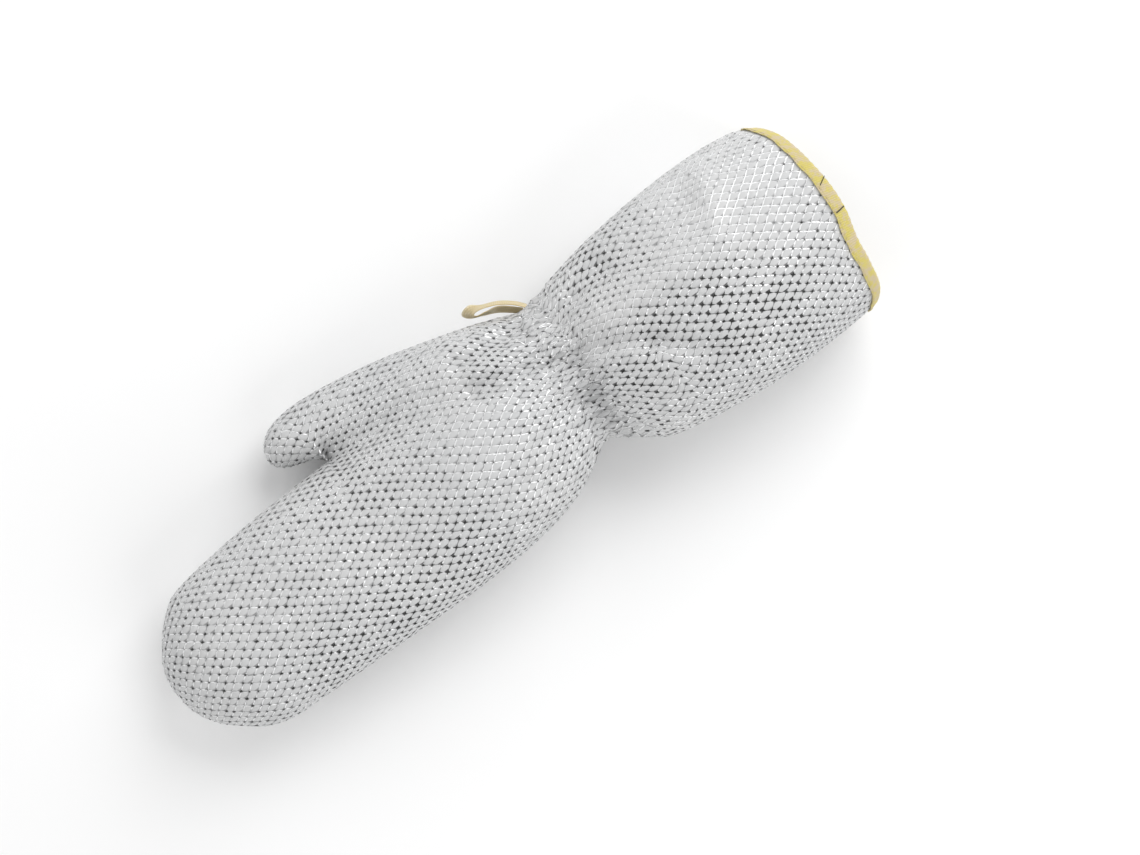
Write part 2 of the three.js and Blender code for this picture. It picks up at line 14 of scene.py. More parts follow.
import bpy
import numpy as np
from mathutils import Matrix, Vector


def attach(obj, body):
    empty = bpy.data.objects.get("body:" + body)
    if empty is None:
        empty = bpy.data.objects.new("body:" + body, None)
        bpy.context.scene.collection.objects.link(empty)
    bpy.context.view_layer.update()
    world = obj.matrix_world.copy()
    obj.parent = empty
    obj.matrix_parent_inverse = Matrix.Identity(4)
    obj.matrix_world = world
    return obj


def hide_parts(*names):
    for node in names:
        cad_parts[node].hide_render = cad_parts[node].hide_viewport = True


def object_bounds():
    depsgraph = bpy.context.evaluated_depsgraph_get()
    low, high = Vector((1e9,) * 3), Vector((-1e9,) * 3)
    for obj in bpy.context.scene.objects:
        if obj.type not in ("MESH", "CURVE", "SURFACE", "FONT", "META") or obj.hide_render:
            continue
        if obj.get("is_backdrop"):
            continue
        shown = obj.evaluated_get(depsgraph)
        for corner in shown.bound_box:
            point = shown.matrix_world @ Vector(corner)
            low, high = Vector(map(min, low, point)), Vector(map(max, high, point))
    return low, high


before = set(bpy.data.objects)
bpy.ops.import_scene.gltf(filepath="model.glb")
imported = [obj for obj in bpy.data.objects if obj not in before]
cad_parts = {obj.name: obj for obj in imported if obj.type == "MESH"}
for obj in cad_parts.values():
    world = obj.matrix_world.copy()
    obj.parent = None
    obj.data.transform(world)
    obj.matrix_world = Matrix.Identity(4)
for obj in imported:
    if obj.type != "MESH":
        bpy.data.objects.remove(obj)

LOG = logging.getLogger("mitten")
METRES = 0.001
Colour = tuple[float, float, float, float]
Band = tuple[float, float]


def mix(low: Any, high: Any, share: Any) -> Any:
    """Value between low and high at a share of the way."""
    return low + (high - low) * share


def smooth_step(start: float, end: float, value: Any) -> Any:
    """Share from 0 at start to 1 at end, level at both."""
    t = np.clip((value - start) / (end - start), 0, 1)
    return t * t * (3 - 2 * t)


def unit(vectors: np.ndarray) -> np.ndarray:
    """Vectors brought to length 1 along their last axis."""
    length = np.linalg.norm(vectors, axis=-1, keepdims=True)
    return vectors / np.maximum(length, 1e-9)


def bell(away: Any, spread: float) -> Any:
    """Share that falls off from 1 with the distance from a middle."""
    return np.exp(-((away / spread) ** 2))


def lengths_along(points: np.ndarray) -> np.ndarray:
    """Distance along a line of points to each of them."""
    return np.concatenate([[0], np.cumsum(np.linalg.norm(np.diff(points, axis=0), axis=1))])


def read_along(at: np.ndarray, length: np.ndarray, values: np.ndarray) -> np.ndarray:
    """Rows of three values read at distances along their line."""
    return np.stack([np.interp(at, length, values[:, k]) for k in range(3)], 1)


def squares(grid: np.ndarray) -> np.ndarray:
    """Corners of each square of a grid, one row for each."""
    corners = (grid[:-1, :-1], grid[1:, :-1], grid[1:, 1:], grid[:-1, 1:])
    return np.stack([corner.ravel() for corner in corners], 1)


@dataclass(frozen=True)
class SmoothCurve:
    """Cubic curve through positions and values, its slopes worked out from the neighbours."""

    positions: np.ndarray
    values: np.ndarray

    def __call__(self, at: Any) -> np.ndarray:
        """Value of the curve, held level past both ends.

        Args:
            at: Positions to read the curve at.

        Returns:
            The values there.
        """
        x, v = self.positions, self.values
        steps = np.diff(x)
        between = np.diff(v) / steps
        slopes = np.concatenate([between[:1], between[1:], between[-1:]])
        slopes[1:-1] = between[:-1] * steps[1:] + between[1:] * steps[:-1]
        slopes[1:-1] /= steps[:-1] + steps[1:]
        held = np.clip(at, x[0], x[-1])
        i = np.clip(np.searchsorted(x, held) - 1, 0, len(x) - 2)
        s = (held - x[i]) / steps[i]
        rise = s * s * (3 - 2 * s)
        ends = v[i] * (1 - rise) + v[i + 1] * rise
        return ends + steps[i] * (slopes[i] * s * (1 - s) ** 2 - slopes[i + 1] * s * s * (1 - s))


@dataclass(frozen=True)
class Table:
    """Sizes by section: one row for each, with named columns."""

    columns: str
    rows: tuple[tuple[float, ...], ...]

    def column(self, name: str) -> np.ndarray:
        """All values of one column."""
        return np.array([row[self.columns.split().index(name)] for row in self.rows], float)

    def curve(self, name: str) -> SmoothCurve:
        """Smooth curve of a column by the first one."""
        return SmoothCurve(self.column(self.columns.split()[0]), self.column(name))


BODY_OUTLINE = Table("y left valley right", (
    (-154, -47.5, 12, 42.5),
    (-148, -49.0, 12, 46.6),
    (-140, -49.6, 12, 48.6),
    (-122, -50.0, 12, 50.0),
    (-102, -49.6, 12, 49.9),
    (-82, -47.4, 13, 48.7),
    (-64, -44.4, 14, 46.6),
    (-50, -40.6, 16, 44.0),
    (-38, -32.0, 18, 40.9),
    (-29, -25.2, 20, 40.5),
    (-20, -29.0, 23, 44.6),
    (-10, -34.8, 26, 48.6),
    (5, -39.8, 29, 53.6),
    (25, -42.9, 32.5, 59.7),
    (45, -43.8, 36, 64.4),
    (60, -43.9, 38.3, 66.9),
    (74.5, -43.5, 39.5, 68.1),
))
HAND_OUTLINE = Table("y left right", (
    (74.5, -43.5, 39.5),
    (90, -43.0, 39.2),
    (115, -42.1, 38.5),
    (138, -41.1, 36.9),
    (153, -40.2, 35.2),
    (163.6, -36.8, 32.9),
    (173, -29.8, 26.2),
    (180.6, -22.6, 17.8),
    (185.7, -14.0, 10.0),
    (187.8, -0.5, -0.5),
))
THUMB_OUTLINE = Table("y left right", (
    (74.5, 39.5, 68.1),
    (79, 43.4, 67.9),
    (85, 45.7, 66.8),
    (90.4, 47.7, 64.4),
    (94.3, 50.8, 60.4),
    (96.1, 54.7, 54.7),
))
BODY_SEAM = Table("y left valley right", (
    (-154, 35, 37, 35),
    (-110, 37, 39, 37),
    (-75, 36, 37, 36),
    (-50, 34, 35, 34.5),
    (-30, 32, 33, 33),
    (-10, 29, 29.5, 28),
    (12, 27, 25.5, 22.5),
    (40, 25.5, 21.5, 18.5),
    (75, 25, 18.5, 16.5),
))
HAND_SEAM = Table("y left right", (
    (75, 25, 18.5),
    (105, 25, 23.5),
    (150, 24, 24),
    (187, 20.5, 20.5),
))
THUMB_SEAM = Table("y left right", ((75, 18.5, 16.5), (96, 16.5, 16.5)))
BACK_RISE = Table("y hand thumb web", (
    (-154, 36, 0, 0),
    (-120, 38, 0, 0),
    (-95, 37, 0, 0),
    (-75, 33, 0, 0),
    (-58, 28.5, 0, 0),
    (-45, 24, 1, 0),
    (-32, 21, 7, 4),
    (-18, 24.5, 16, 13),
    (0, 31.5, 20.5, 21),
    (20, 34.5, 19.5, 22.5),
    (45, 34, 16.5, 21.5),
    (70, 32, 14.4, 20),
    (90, 30.5, 14, 20),
    (125, 27.5, 14, 20),
    (187, 25.5, 14, 20),
))
PALM_DROP = Table("y hand thumb web", (
    (-154, 33.7, 0, 0),
    (-140, 38, 0, 0),
    (-95, 39, 0, 0),
    (-72, 35, 0, 0),
    (-55, 28.5, 0, 0),
    (-45, 25, 1, 0),
    (-32, 21, 6, 4),
    (-18, 22, 15, 12),
    (0, 26.5, 19.5, 18),
    (20, 28.5, 18, 19),
    (45, 28.5, 15, 17),
    (70, 28.5, 13.4, 15),
    (187, 28.5, 13.4, 15),
))
HAND_LOBE_END = Table("y right", ((-29, 40.5), (0, 41), (40, 39.2), (74.5, 39.5)))
THUMB_LOBE = Table("y half", ((-40, 19), (-10, 16.6), (25, 14.8), (50, 13.5), (74.5, 12.7)))
BACK_FOLDS = Table("x1 y1 x2 y2 width rise", (
    (9, 30, 10, 8, 17, 2.2),
    (-20, 76, -18, 12, 6, -1.4),
    (24, 6, 15, -30, 4, -3.4),
    (38, 4, 35, -24, 3.6, -3.2),
    (30, 0, 25, -30, 3.2, 2.2),
    (-28, 6, -7, -29, 4, -2.6),
    (-12, 0, -3, -29, 3.4, -2),
    (-20, -6, -11, -24, 3.4, 1.4),
    (3, -4, 6, -26, 4, 1.6),
    (-14, -30, -5, -35, 5, -4.5),
    (7, -34, 11, -41, 5, -4.5),
    (26, -41, 30, -51, 4.6, -4.5),
    (33, -57, 36, -67, 5, -2.6),
    (7.5, -49, -4, -67, 3.4, -2.4),
    (-4, -67, -23, -85, 3.6, -2),
    (15, -56, 14, -112, 5.5, 2.6),
    (32, -64, 34, -110, 9, -3.6),
    (19, -116, 44, -127, 6, 2),
    (-2, -72, -2, -140, 8, -1.8),
    (-34, 163, -14, 182, 5, -1.6),
))
# Spots where the knit's gaps stand closed (below 0) or open (above 0). They also lay out painted light
# and shade: closed spots get more painted highlight, open ones more painted shade.
KNIT_TENSION_AND_SHADING = Table("x y spread open", (
    (24, -138, 24, -1.0),
    (38, -112, 18, -0.8),
    (4, -134, 12, -0.4),
    (6, -100, 14, 0.4),
    (-24, -120, 20, 0.7),
    (-20, -92, 16, 0.7),
    (-2, -70, 14, 0.6),
    (-11, -51, 10, 0.6),
    (38, -66, 12, 0.5),
    (14, -50, 9, -0.5),
    (34, -38, 10, -0.4),
    (28, -5, 9, 0.5),
    (8, -44, 5, -0.8),
    (0, -58, 5, -0.9),
    (-11, -70, 5, -0.9),
    (-20, -79, 5, -0.7),
    (15, -62, 7, -0.7),
    (15, -78, 7, -0.9),
    (14, -93, 7, -0.8),
    (12, -106, 8, -0.6),
    (8, 14, 18, -0.6),
    (42, 16, 14, -0.3),
    (22, 70, 18, 0.3),
    (-30, 50, 16, 0.7),
    (-32, 85, 16, 0.8),
    (-30, 120, 16, 0.6),
))
KNIT_WANDER = Table("crushed lengthways amount across along phase", (
    (0, 0, 0.3, 23, 17, 0),
    (0, 0, 0.14, 2.3, -3.1, 0),
    (0, 1, 0.3, 14, 31, 1),
    (0, 1, 0.14, 2.7, 1.9, 0),
    (1, 0, 0.45, 1.05, 2.9, 0),
    (1, 1, 0.6, -2.1, 1.2, 0),
))
LOOP_PATH = Table("station x y z slant_x slant_y", (
    (0, 40.4, -34.6, 33.6, -0.10, 0.28),
    (1, 45.0, -30.4, 36.8, -0.19, 0.25),
    (2, 48.9, -25.2, 38.0, -0.30, 0.16),
    (3, 51.6, -19.0, 37.0, -0.38, -0.20),
    (4, 53.2, -13.6, 34.0, -0.54, -0.66),
    (5, 52.6, -11.6, 30.6, -0.58, -0.78),
    (6, 50.6, -13.6, 28.0, -0.35, -0.74),
    (7, 49.0, -18.4, 27.0, 0.05, -0.45),
    (8, 46.6, -24.6, 27.4, 0.42, -0.32),
    (9, 39.9, -32.2, 30.4, 0.35, -0.26),
))
MOUTH_WAVE = Table("x out", (
    (-47, 0.6),
    (-44, 1.3),
    (-40, 0.8),
    (-35, -0.4),
    (-29, -1.2),
    (-23, -1.9),
    (-16, -1.2),
    (-10, 0.0),
    (-4, 0.6),
    (20, 0.8),
    (27, 1.4),
    (33, 2.2),
    (43, 2.6),
))


class Side(Enum):
    """The two panels of the mitten."""

    BACK = 1
    PALM = -1


class Limb(Enum):
    """The three stretches that a panel's sections run through."""

    BODY = "body"
    HAND = "hand"
    THUMB = "thumb"


@dataclass(frozen=True)
class TipSections:
    """Sections of a tip by the distance along its outer seam."""

    table: Table
    outer_side: str
    inner_side: str

    def stations(self) -> np.ndarray:
        """Distance along the outer seam to each row, going on from the crotch."""
        x, y = self.table.column(self.outer_side), self.table.column("y")
        return y[0] + np.concatenate([[0], np.cumsum(np.hypot(np.diff(x), np.diff(y)))])

    def end(self) -> float:
        """Station of the tip itself."""
        return float(self.stations()[-1])

    def whole(self, body: str, tip: str) -> SmoothCurve:
        """A column along the body and on round the tip as one curve."""
        stations = np.concatenate([BODY_OUTLINE.column("y")[:-1], self.stations()])
        values = np.concatenate([BODY_OUTLINE.column(body)[:-1], self.table.column(tip)])
        return SmoothCurve(stations, values)

    def y(self, station: np.ndarray) -> np.ndarray:
        """Place along the mitten."""
        return self.whole("y", "y")(station)

    def outer(self, station: np.ndarray) -> np.ndarray:
        """Place of the outer seam across the mitten."""
        return self.whole(self.outer_side, self.outer_side)(station)

    def inner(self, station: np.ndarray) -> np.ndarray:
        """Place of the seam on the notch's side across the mitten."""
        return SmoothCurve(self.stations(), self.table.column(self.inner_side))(station)


HAND = TipSections(HAND_OUTLINE, "left", "right")
THUMB = TipSections(THUMB_OUTLINE, "right", "left")


@dataclass(frozen=True)
class MittenForm:
    """The smooth form of both panels, as lobes of hand, thumb and web over the seam."""

    mouth_y: float = -154
    crotch_y: float = 74.5
    hand_tip_y: float = 187.8
    thumb_tip_y: float = 96.1
    centre_x: float = 9.05
    centre_y: float = 12
    lobe_power: float = 4
    back_roundness: float = 2.1
    palm_roundness: float = 2.6
    floor_blend: float = 1.5
    hand_closing_from: float = 148
    thumb_closing_from: float = 72
    web_closing_from: float = 12
    web_left: float = 26.2
    web_right: float = 54.2
    bulge: float = 8.4
    bulge_tilt: float = 0.15
    bulge_fades_by: float = -105
    wave_reach: float = 16
    mouth_lift: float = 1.3
    mouth_lift_from: float = -149
    mouth_lift_to: float = -143
    tip_drop: float = 4
    tip_drop_from: float = 160
    fold_fade: float = 12
    own_end_from: float = -40
    own_end_to: float = -24
    ripple_y: float = -32
    ripple_length: float = 14
    ripple_spread: float = 15
    back_ripple: float = 0.6
    palm_ripple: float = 2

    def closing(self, y: np.ndarray, start: float, tip: float) -> np.ndarray:
        """Share of a lobe's crown that is left where it closes like an ellipse."""
        return np.sqrt(1 - np.clip((y - start) / (tip - start), 0, 1) ** 2)

    def lobe(self, x: np.ndarray, left: Any, right: Any, roundness: float) -> np.ndarray:
        """Height of one rounded lobe across the mitten, as a share of its crown.

        Args:
            x: Places across the mitten.
            left: One end of the lobe.
            right: The other end of the lobe.
            roundness: Power of the lobe's superellipse.

        Returns:
            Shares from 0 at both ends to 1 in the middle.
        """
        width = right - left
        t = np.abs(2 * x - left - right) / np.where(width > 0, width, 1)
        t = np.where(width > 0, np.minimum(t, 1), 1)
        return (1 - t**roundness) ** (1 / roundness)

    def height(self, side: Side, limb: Limb, y: np.ndarray, x: np.ndarray,
               ends: tuple[np.ndarray, np.ndarray]) -> np.ndarray:
        """Distance of a panel from the seam's level, as the blend of its lobes.

        Args:
            side: The panel.
            limb: The stretch that the places are on.
            y: Places along the mitten.
            x: Places across the mitten.
            ends: Left and right seam of the section.

        Returns:
            The distances.
        """
        table = BACK_RISE if side is Side.BACK else PALM_DROP
        roundness = self.back_roundness if side is Side.BACK else self.palm_roundness
        crown = {name: table.curve(name)(y) for name in ("hand", "thumb", "web")}
        crown["hand"] = crown["hand"] * self.closing(y, self.hand_closing_from, self.hand_tip_y)
        crown["thumb"] = crown["thumb"] * self.closing(y, self.thumb_closing_from, self.thumb_tip_y)
        crown["web"] = crown["web"] * self.closing(y, self.web_closing_from, self.crotch_y)
        left, right = ends
        if limb is not Limb.BODY:
            return crown[limb.value] * self.lobe(x, left, right, roundness)
        own = np.minimum(HAND_LOBE_END.curve("right")(y), right)
        hand_end = mix(right, own, smooth_step(self.own_end_from, self.own_end_to, y))
        thumb_start = right - 2 * THUMB_LOBE.curve("half")(y)
        heights = (
            crown["hand"] * self.lobe(x, left, hand_end, roundness),
            crown["thumb"] * self.lobe(x, thumb_start, right, roundness),
            crown["web"] * self.lobe(x, self.web_left, np.minimum(self.web_right, right), roundness),
        )
        return sum(height**self.lobe_power for height in heights) ** (1 / self.lobe_power)

    def fold_rise(self, x: np.ndarray, y: np.ndarray) -> np.ndarray:
        """Rise of all main folds of the back, each a soft ridge or valley along a line."""
        total = np.zeros(np.broadcast(x, y).shape)
        for x1, y1, x2, y2, width, rise in BACK_FOLDS.rows:
            dx, dy = x2 - x1, y2 - y1
            t = np.clip(((x - x1) * dx + (y - y1) * dy) / (dx * dx + dy * dy), 0, 1)
            away = np.hypot(x - x1 - t * dx, y - y1 - t * dy)
            total = total + rise * bell(away, width)
        return total

    def ripple(self, x: np.ndarray, y: np.ndarray, amount: float) -> np.ndarray:
        """Gathers that run through the wrist, as a wave across it."""
        fade = bell(y - self.ripple_y, self.ripple_spread)
        return amount * np.sin(2 * math.pi * x / self.ripple_length) * fade

    def rest_on(self, height: np.ndarray, floor: np.ndarray) -> np.ndarray:
        """The larger of a height and a floor, blended over a small step."""
        above = height - floor
        blended = floor + (above + self.floor_blend) ** 2 / (4 * self.floor_blend)
        return np.where(above < -self.floor_blend, floor,
                        np.where(above > self.floor_blend, height, blended))

    def seam_ends(self, limb: Limb, station: np.ndarray) -> tuple[np.ndarray, ...]:
        """Both seams of a section.

        Args:
            limb: The stretch that the section is on.
            station: Distance along the outer seam.

        Returns:
            Place along the mitten, left and right seam across it, and both seam levels.
        """
        if limb is Limb.BODY:
            levels = [BODY_SEAM.curve(name)(station) for name in ("left", "right")]
            return station, HAND.outer(station), THUMB.outer(station), *levels
        tip, seam = (HAND, HAND_SEAM) if limb is Limb.HAND else (THUMB, THUMB_SEAM)
        y = tip.y(station)
        across = (tip.outer(station), tip.inner(station))
        left, right = across if limb is Limb.HAND else across[::-1]
        return y, left, right, seam.curve("left")(y), seam.curve("right")(y)

    def surface(self, side: Side, limb: Limb, station: np.ndarray,
                share: np.ndarray) -> tuple[np.ndarray, np.ndarray]:
        """Outer face of a panel and the seam's level there.

        Args:
            side: The panel.
            limb: The stretch that the sections are on.
            station: Sections, as a column.
            share: Shares across each section, as a row.

        Returns:
            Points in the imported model's place, and seam levels.
        """
        flat, left, right, left_level, right_level = self.seam_ends(limb, station)
        x = mix(left, right, share)
        level = mix(left_level, right_level, share)
        if limb is Limb.BODY:
            valley = BODY_OUTLINE.curve("valley")(station)
            valley_level = BODY_SEAM.curve("valley")(station)
            level = np.where(
                x < valley,
                mix(left_level, valley_level, (x - left) / (valley - left)),
                mix(valley_level, right_level, (x - valley) / (right - valley)),
            )
        height = self.height(side, limb, flat, x, (left, right))
        mouth = HAND.outer(self.mouth_y), THUMB.outer(self.mouth_y)
        across = (2 * x - mouth[0] - mouth[1]) / (mouth[1] - mouth[0])
        y = flat - self.bulge * (1 + self.bulge_tilt * across) * np.maximum(
            0, 1 - np.abs(across) ** 3
        ) * (1 - smooth_step(self.mouth_y, self.bulge_fades_by, flat))
        wave = MOUTH_WAVE.curve("out")(x)
        y = y - wave * (1 - smooth_step(self.mouth_y, self.mouth_y + self.wave_reach, flat))
        fade = smooth_step(0, self.fold_fade, height)
        if side is Side.BACK:
            z = level + height + fade * (self.fold_rise(x, y) + self.ripple(x, y, self.back_ripple))
        else:
            floor = self.mouth_lift * (1 - smooth_step(self.mouth_lift_from, self.mouth_lift_to, flat))
            lift = self.tip_drop * smooth_step(self.tip_drop_from, self.hand_tip_y, flat)
            z = self.rest_on(level - height + fade * (self.ripple(x, y, self.palm_ripple) + lift), floor)
        points = np.stack(np.broadcast_arrays(x - self.centre_x, y - self.centre_y, z), -1)
        return points, np.broadcast_to(level, z.shape)


@dataclass
class ClothGrid:
    """One stretch of a panel as rows of points, evenly spread along each row's own length."""

    points: np.ndarray
    normals: np.ndarray
    levels: np.ndarray
    along: np.ndarray
    left: np.ndarray
    right: np.ndarray

    def sample(self, across: np.ndarray, along: np.ndarray) -> dict[str, np.ndarray]:
        """Reads the grid at places of the flat cloth, held inside its seams.

        Args:
            across: Places across the cloth, from its middle line.
            along: Places along the cloth, from the mouth.

        Returns:
            Points, normals, seam levels, and the margin left to the nearest seam.
        """
        rows, columns = self.levels.shape
        r = np.interp(along, self.along, np.arange(rows))
        left = np.interp(along, self.along, self.left)
        right = np.interp(along, self.along, self.right)
        margin = np.minimum(across - left, right - across)
        share = (across - left) / np.maximum(right - left, 1e-6)
        c = np.clip(share, 0, 1) * (columns - 1)
        r0 = np.clip(r.astype(int), 0, rows - 2)
        c0 = np.clip(c.astype(int), 0, columns - 2)
        fr, fc = (r - r0)[..., None], (c - c0)[..., None]

        def read(values: np.ndarray) -> np.ndarray:
            """Blend of the four neighbours."""
            low = mix(values[r0, c0], values[r0, c0 + 1], fc)
            high = mix(values[r0 + 1, c0], values[r0 + 1, c0 + 1], fc)
            return mix(low, high, fr)

        return {
            "points": read(self.points),
            "normals": unit(read(self.normals)),
            "levels": read(self.levels[..., None])[..., 0],
            "margin": margin,
        }


@dataclass
class PanelCloth:
    """One panel as a flat cut of cloth and the place that each point of it takes on the mitten."""

    form: MittenForm
    side: Side
    dense: int = 481
    columns: int = 181
    body_rows: int = 230
    hand_rows: int = 200
    thumb_rows: int = 60
    gather: float = 0.55
    gather_spread: float = 22
    web_eased_from: float = 0
    past_crotch: float = 0.001

    def __post_init__(self) -> None:
        """Lays out the three grids, each going on from the one below it."""
        f = self.form
        self.body = self.grid(Limb.BODY, np.linspace(f.mouth_y, f.crotch_y, self.body_rows), 0, 0)
        self.turn = self.body.along[-1]
        self.hand = self.grid(Limb.HAND, self.tip_stations(HAND, self.hand_rows), self.turn, 0)
        middle = (self.hand.right[0] + self.body.right[-1]) / 2
        self.thumb = self.grid(Limb.THUMB, self.tip_stations(THUMB, self.thumb_rows), self.turn, middle)

    def tip_stations(self, tip: TipSections, rows: int) -> np.ndarray:
        """Sections from just past the crotch to a tip, closer together towards the tip."""
        closing = np.sin(np.linspace(0, math.pi / 2, rows))
        return self.form.crotch_y + self.past_crotch + (tip.end() - self.form.crotch_y) * closing

    def grid(self, limb: Limb, stations: np.ndarray, start: float, middle: float) -> ClothGrid:
        """Works out one grid.

        Args:
            limb: The stretch.
            stations: Its sections.
            start: Length of cloth below it.
            middle: Place across the cloth that a thumb is centred on.

        Returns:
            The grid.
        """
        share = (1 - np.cos(np.linspace(0, math.pi, self.dense))) / 2
        dense, dense_levels = self.form.surface(self.side, limb, stations[:, None], share[None, :])
        lengths = np.linalg.norm(np.diff(dense, axis=1), axis=2)
        arcs = np.concatenate([np.zeros((len(stations), 1)), np.cumsum(lengths, axis=1)], axis=1)
        spine_at = arcs[:, -1] / 2
        if limb is not Limb.THUMB:
            spine_at = np.array([
                np.interp(-self.form.centre_x, row[:, 0], arc) for row, arc in zip(dense, arcs)
            ])
        spine = np.stack([
            [np.interp(at, arc, row[:, k]) for k in range(3)]
            for at, arc, row in zip(spine_at, arcs, dense)
        ])
        steps = np.linalg.norm(np.diff(spine, axis=0), axis=1)
        along = start + np.concatenate([[0], np.cumsum(np.maximum(steps, 1e-4))])
        flat = middle + arcs - spine_at[:, None]
        if limb is Limb.BODY:
            flat = self.eased_web(self.fuller(flat, stations), stations, along, dense[..., 0])
        points = np.empty((len(stations), self.columns, 3))
        levels = np.empty((len(stations), self.columns))
        for i, row in enumerate(flat):
            even = np.linspace(row[0], row[-1], self.columns)
            levels[i] = np.interp(even, row, dense_levels[i])
            for k in range(3):
                points[i, :, k] = np.interp(even, row, dense[i, :, k])
        return ClothGrid(points, self.normals(points), levels, along, flat[:, 0], flat[:, -1])

    def fuller(self, flat: np.ndarray, stations: np.ndarray) -> np.ndarray:
        """Widens the flat cloth where the wrist gathers it."""
        near = bell(stations - self.form.ripple_y, self.gather_spread)
        return flat * (1 + self.gather * near)[:, None]

    def eased_web(self, flat: np.ndarray, stations: np.ndarray, along: np.ndarray,
                  x: np.ndarray) -> np.ndarray:
        """Lets the web between hand and thumb take up the width that the notch adds.

        Args:
            flat: Place of each point across the flat cloth.
            stations: The rows' places along the mitten.
            along: The rows' places along the flat cloth.
            x: Place of each point across the mitten.

        Returns:
            The eased places across the flat cloth.
        """
        eased = flat.copy()
        first = int(np.searchsorted(stations, self.web_eased_from))
        share_up = (along - along[first]) / (along[-1] - along[first])
        across = x + self.form.centre_x
        for i in range(first, len(stations)):
            right = mix(flat[first, -1], flat[-1, -1], share_up[i])
            web_left = np.interp(self.form.web_left, across[i], flat[i])
            web_right = np.interp(self.form.web_right, across[i], flat[i])
            moved = right - (flat[i, -1] - web_right)
            over = flat[i] > web_right
            inside = (flat[i] > web_left) & ~over
            share = (flat[i] - web_left) / (web_right - web_left)
            eased[i] = np.where(inside, mix(web_left, moved, share), eased[i])
            eased[i] = np.where(over, flat[i] + moved - web_right, eased[i])
        return eased

    def normals(self, points: np.ndarray) -> np.ndarray:
        """Outward direction at each point of a grid."""
        across = np.gradient(points, axis=1)
        along = np.gradient(points, axis=0)
        normals = self.side.value * np.cross(across, along)
        normals[-1] = np.where(np.linalg.norm(normals[-1], axis=1, keepdims=True) > 1e-5,
                               normals[-1], normals[-2])
        normals = unit(normals)
        for edge in (0, -1):
            normals[:, edge, 2] = 0
        return unit(normals)

    def notch(self, along: np.ndarray) -> np.ndarray:
        """Line of the flat cloth that parts hand from thumb above the crotch."""
        hand = np.interp(along, self.hand.along, self.hand.right)
        return (hand + np.interp(along, self.thumb.along, self.thumb.left)) / 2

    def place(self, across: np.ndarray, along: np.ndarray,
              on_thumb: np.ndarray) -> dict[str, np.ndarray]:
        """Places points of the flat cloth on the mitten.

        Args:
            across: Places across the cloth, from its middle line.
            along: Places along the cloth, from the mouth.
            on_thumb: Whether each point past the crotch belongs to the thumb.

        Returns:
            Points, normals, seam levels, and the margin left to the nearest seam or tip.
        """
        read = self.body.sample(across, along)
        read["margin"] = np.minimum(read["margin"], along)
        for grid, on_it in ((self.hand, ~on_thumb), (self.thumb, on_thumb)):
            chosen = (along > self.turn) & on_it
            part = grid.sample(across[chosen], along[chosen])
            part["margin"] = np.minimum(part["margin"], grid.along[-1] - along[chosen])
            for name, values in part.items():
                read[name][chosen] = values
        return read

    def flat_area(self) -> float:
        """Area of the flat cut in square millimetres."""
        area = 0.0
        for grid in (self.body, self.hand, self.thumb):
            width = grid.right - grid.left
            area += float(np.sum((width[1:] + width[:-1]) / 2 * np.diff(grid.along)))
        return area


def make_piece(name: str, points: np.ndarray, faces: Iterable[Sequence[int]],
               uv: np.ndarray | None = None, tension: np.ndarray | None = None,
               smooth: bool = True) -> bpy.types.Object:
    """Makes a mesh object of points in millimetres.

    Args:
        name: Name of the piece.
        points: Its points.
        faces: Its faces, as rows of point numbers.
        uv: Place of each point in the piece's own pattern.
        tension: How far the knit's gaps stand open at each point, which also lays out painted light and
            shade.
        smooth: Whether it is shaded smooth.

    Returns:
        The object, at the origin.
    """
    faces = np.asarray(faces)
    used, numbers = np.unique(faces, return_inverse=True)
    faces = numbers.reshape(faces.shape)
    mesh = bpy.data.meshes.new(name)
    mesh.from_pydata((points[used] * METRES).tolist(), [], faces.tolist())
    if tension is not None:
        tension = np.stack([tension, tension], 1)
    for layer_name, values in (("pattern", uv), ("tension", tension)):
        if values is not None:
            layer = mesh.uv_layers.new(name=layer_name)
            layer.data.foreach_set("uv", values[used][faces.ravel()].astype(np.float32).ravel())
    mesh.polygons.foreach_set("use_smooth", np.full(len(mesh.polygons), smooth))
    mesh.update()
    piece = bpy.data.objects.new(name, mesh)
    bpy.context.scene.collection.objects.link(piece)
    return piece


def hang_on(piece: bpy.types.Object, material: bpy.types.Material) -> bpy.types.Object:
    """Dresses a finished piece and makes it ride on the mitten.

    Args:
        piece: The piece.
        material: Its finish.

    Returns:
        The piece.
    """
    piece.data.materials.clear()
    piece.data.materials.append(material)
    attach(piece, "root")
    triangles = sum(len(face.vertices) - 2 for face in piece.data.polygons)
    LOG.info("%s: %d triangles", piece.name, triangles)
    return piece


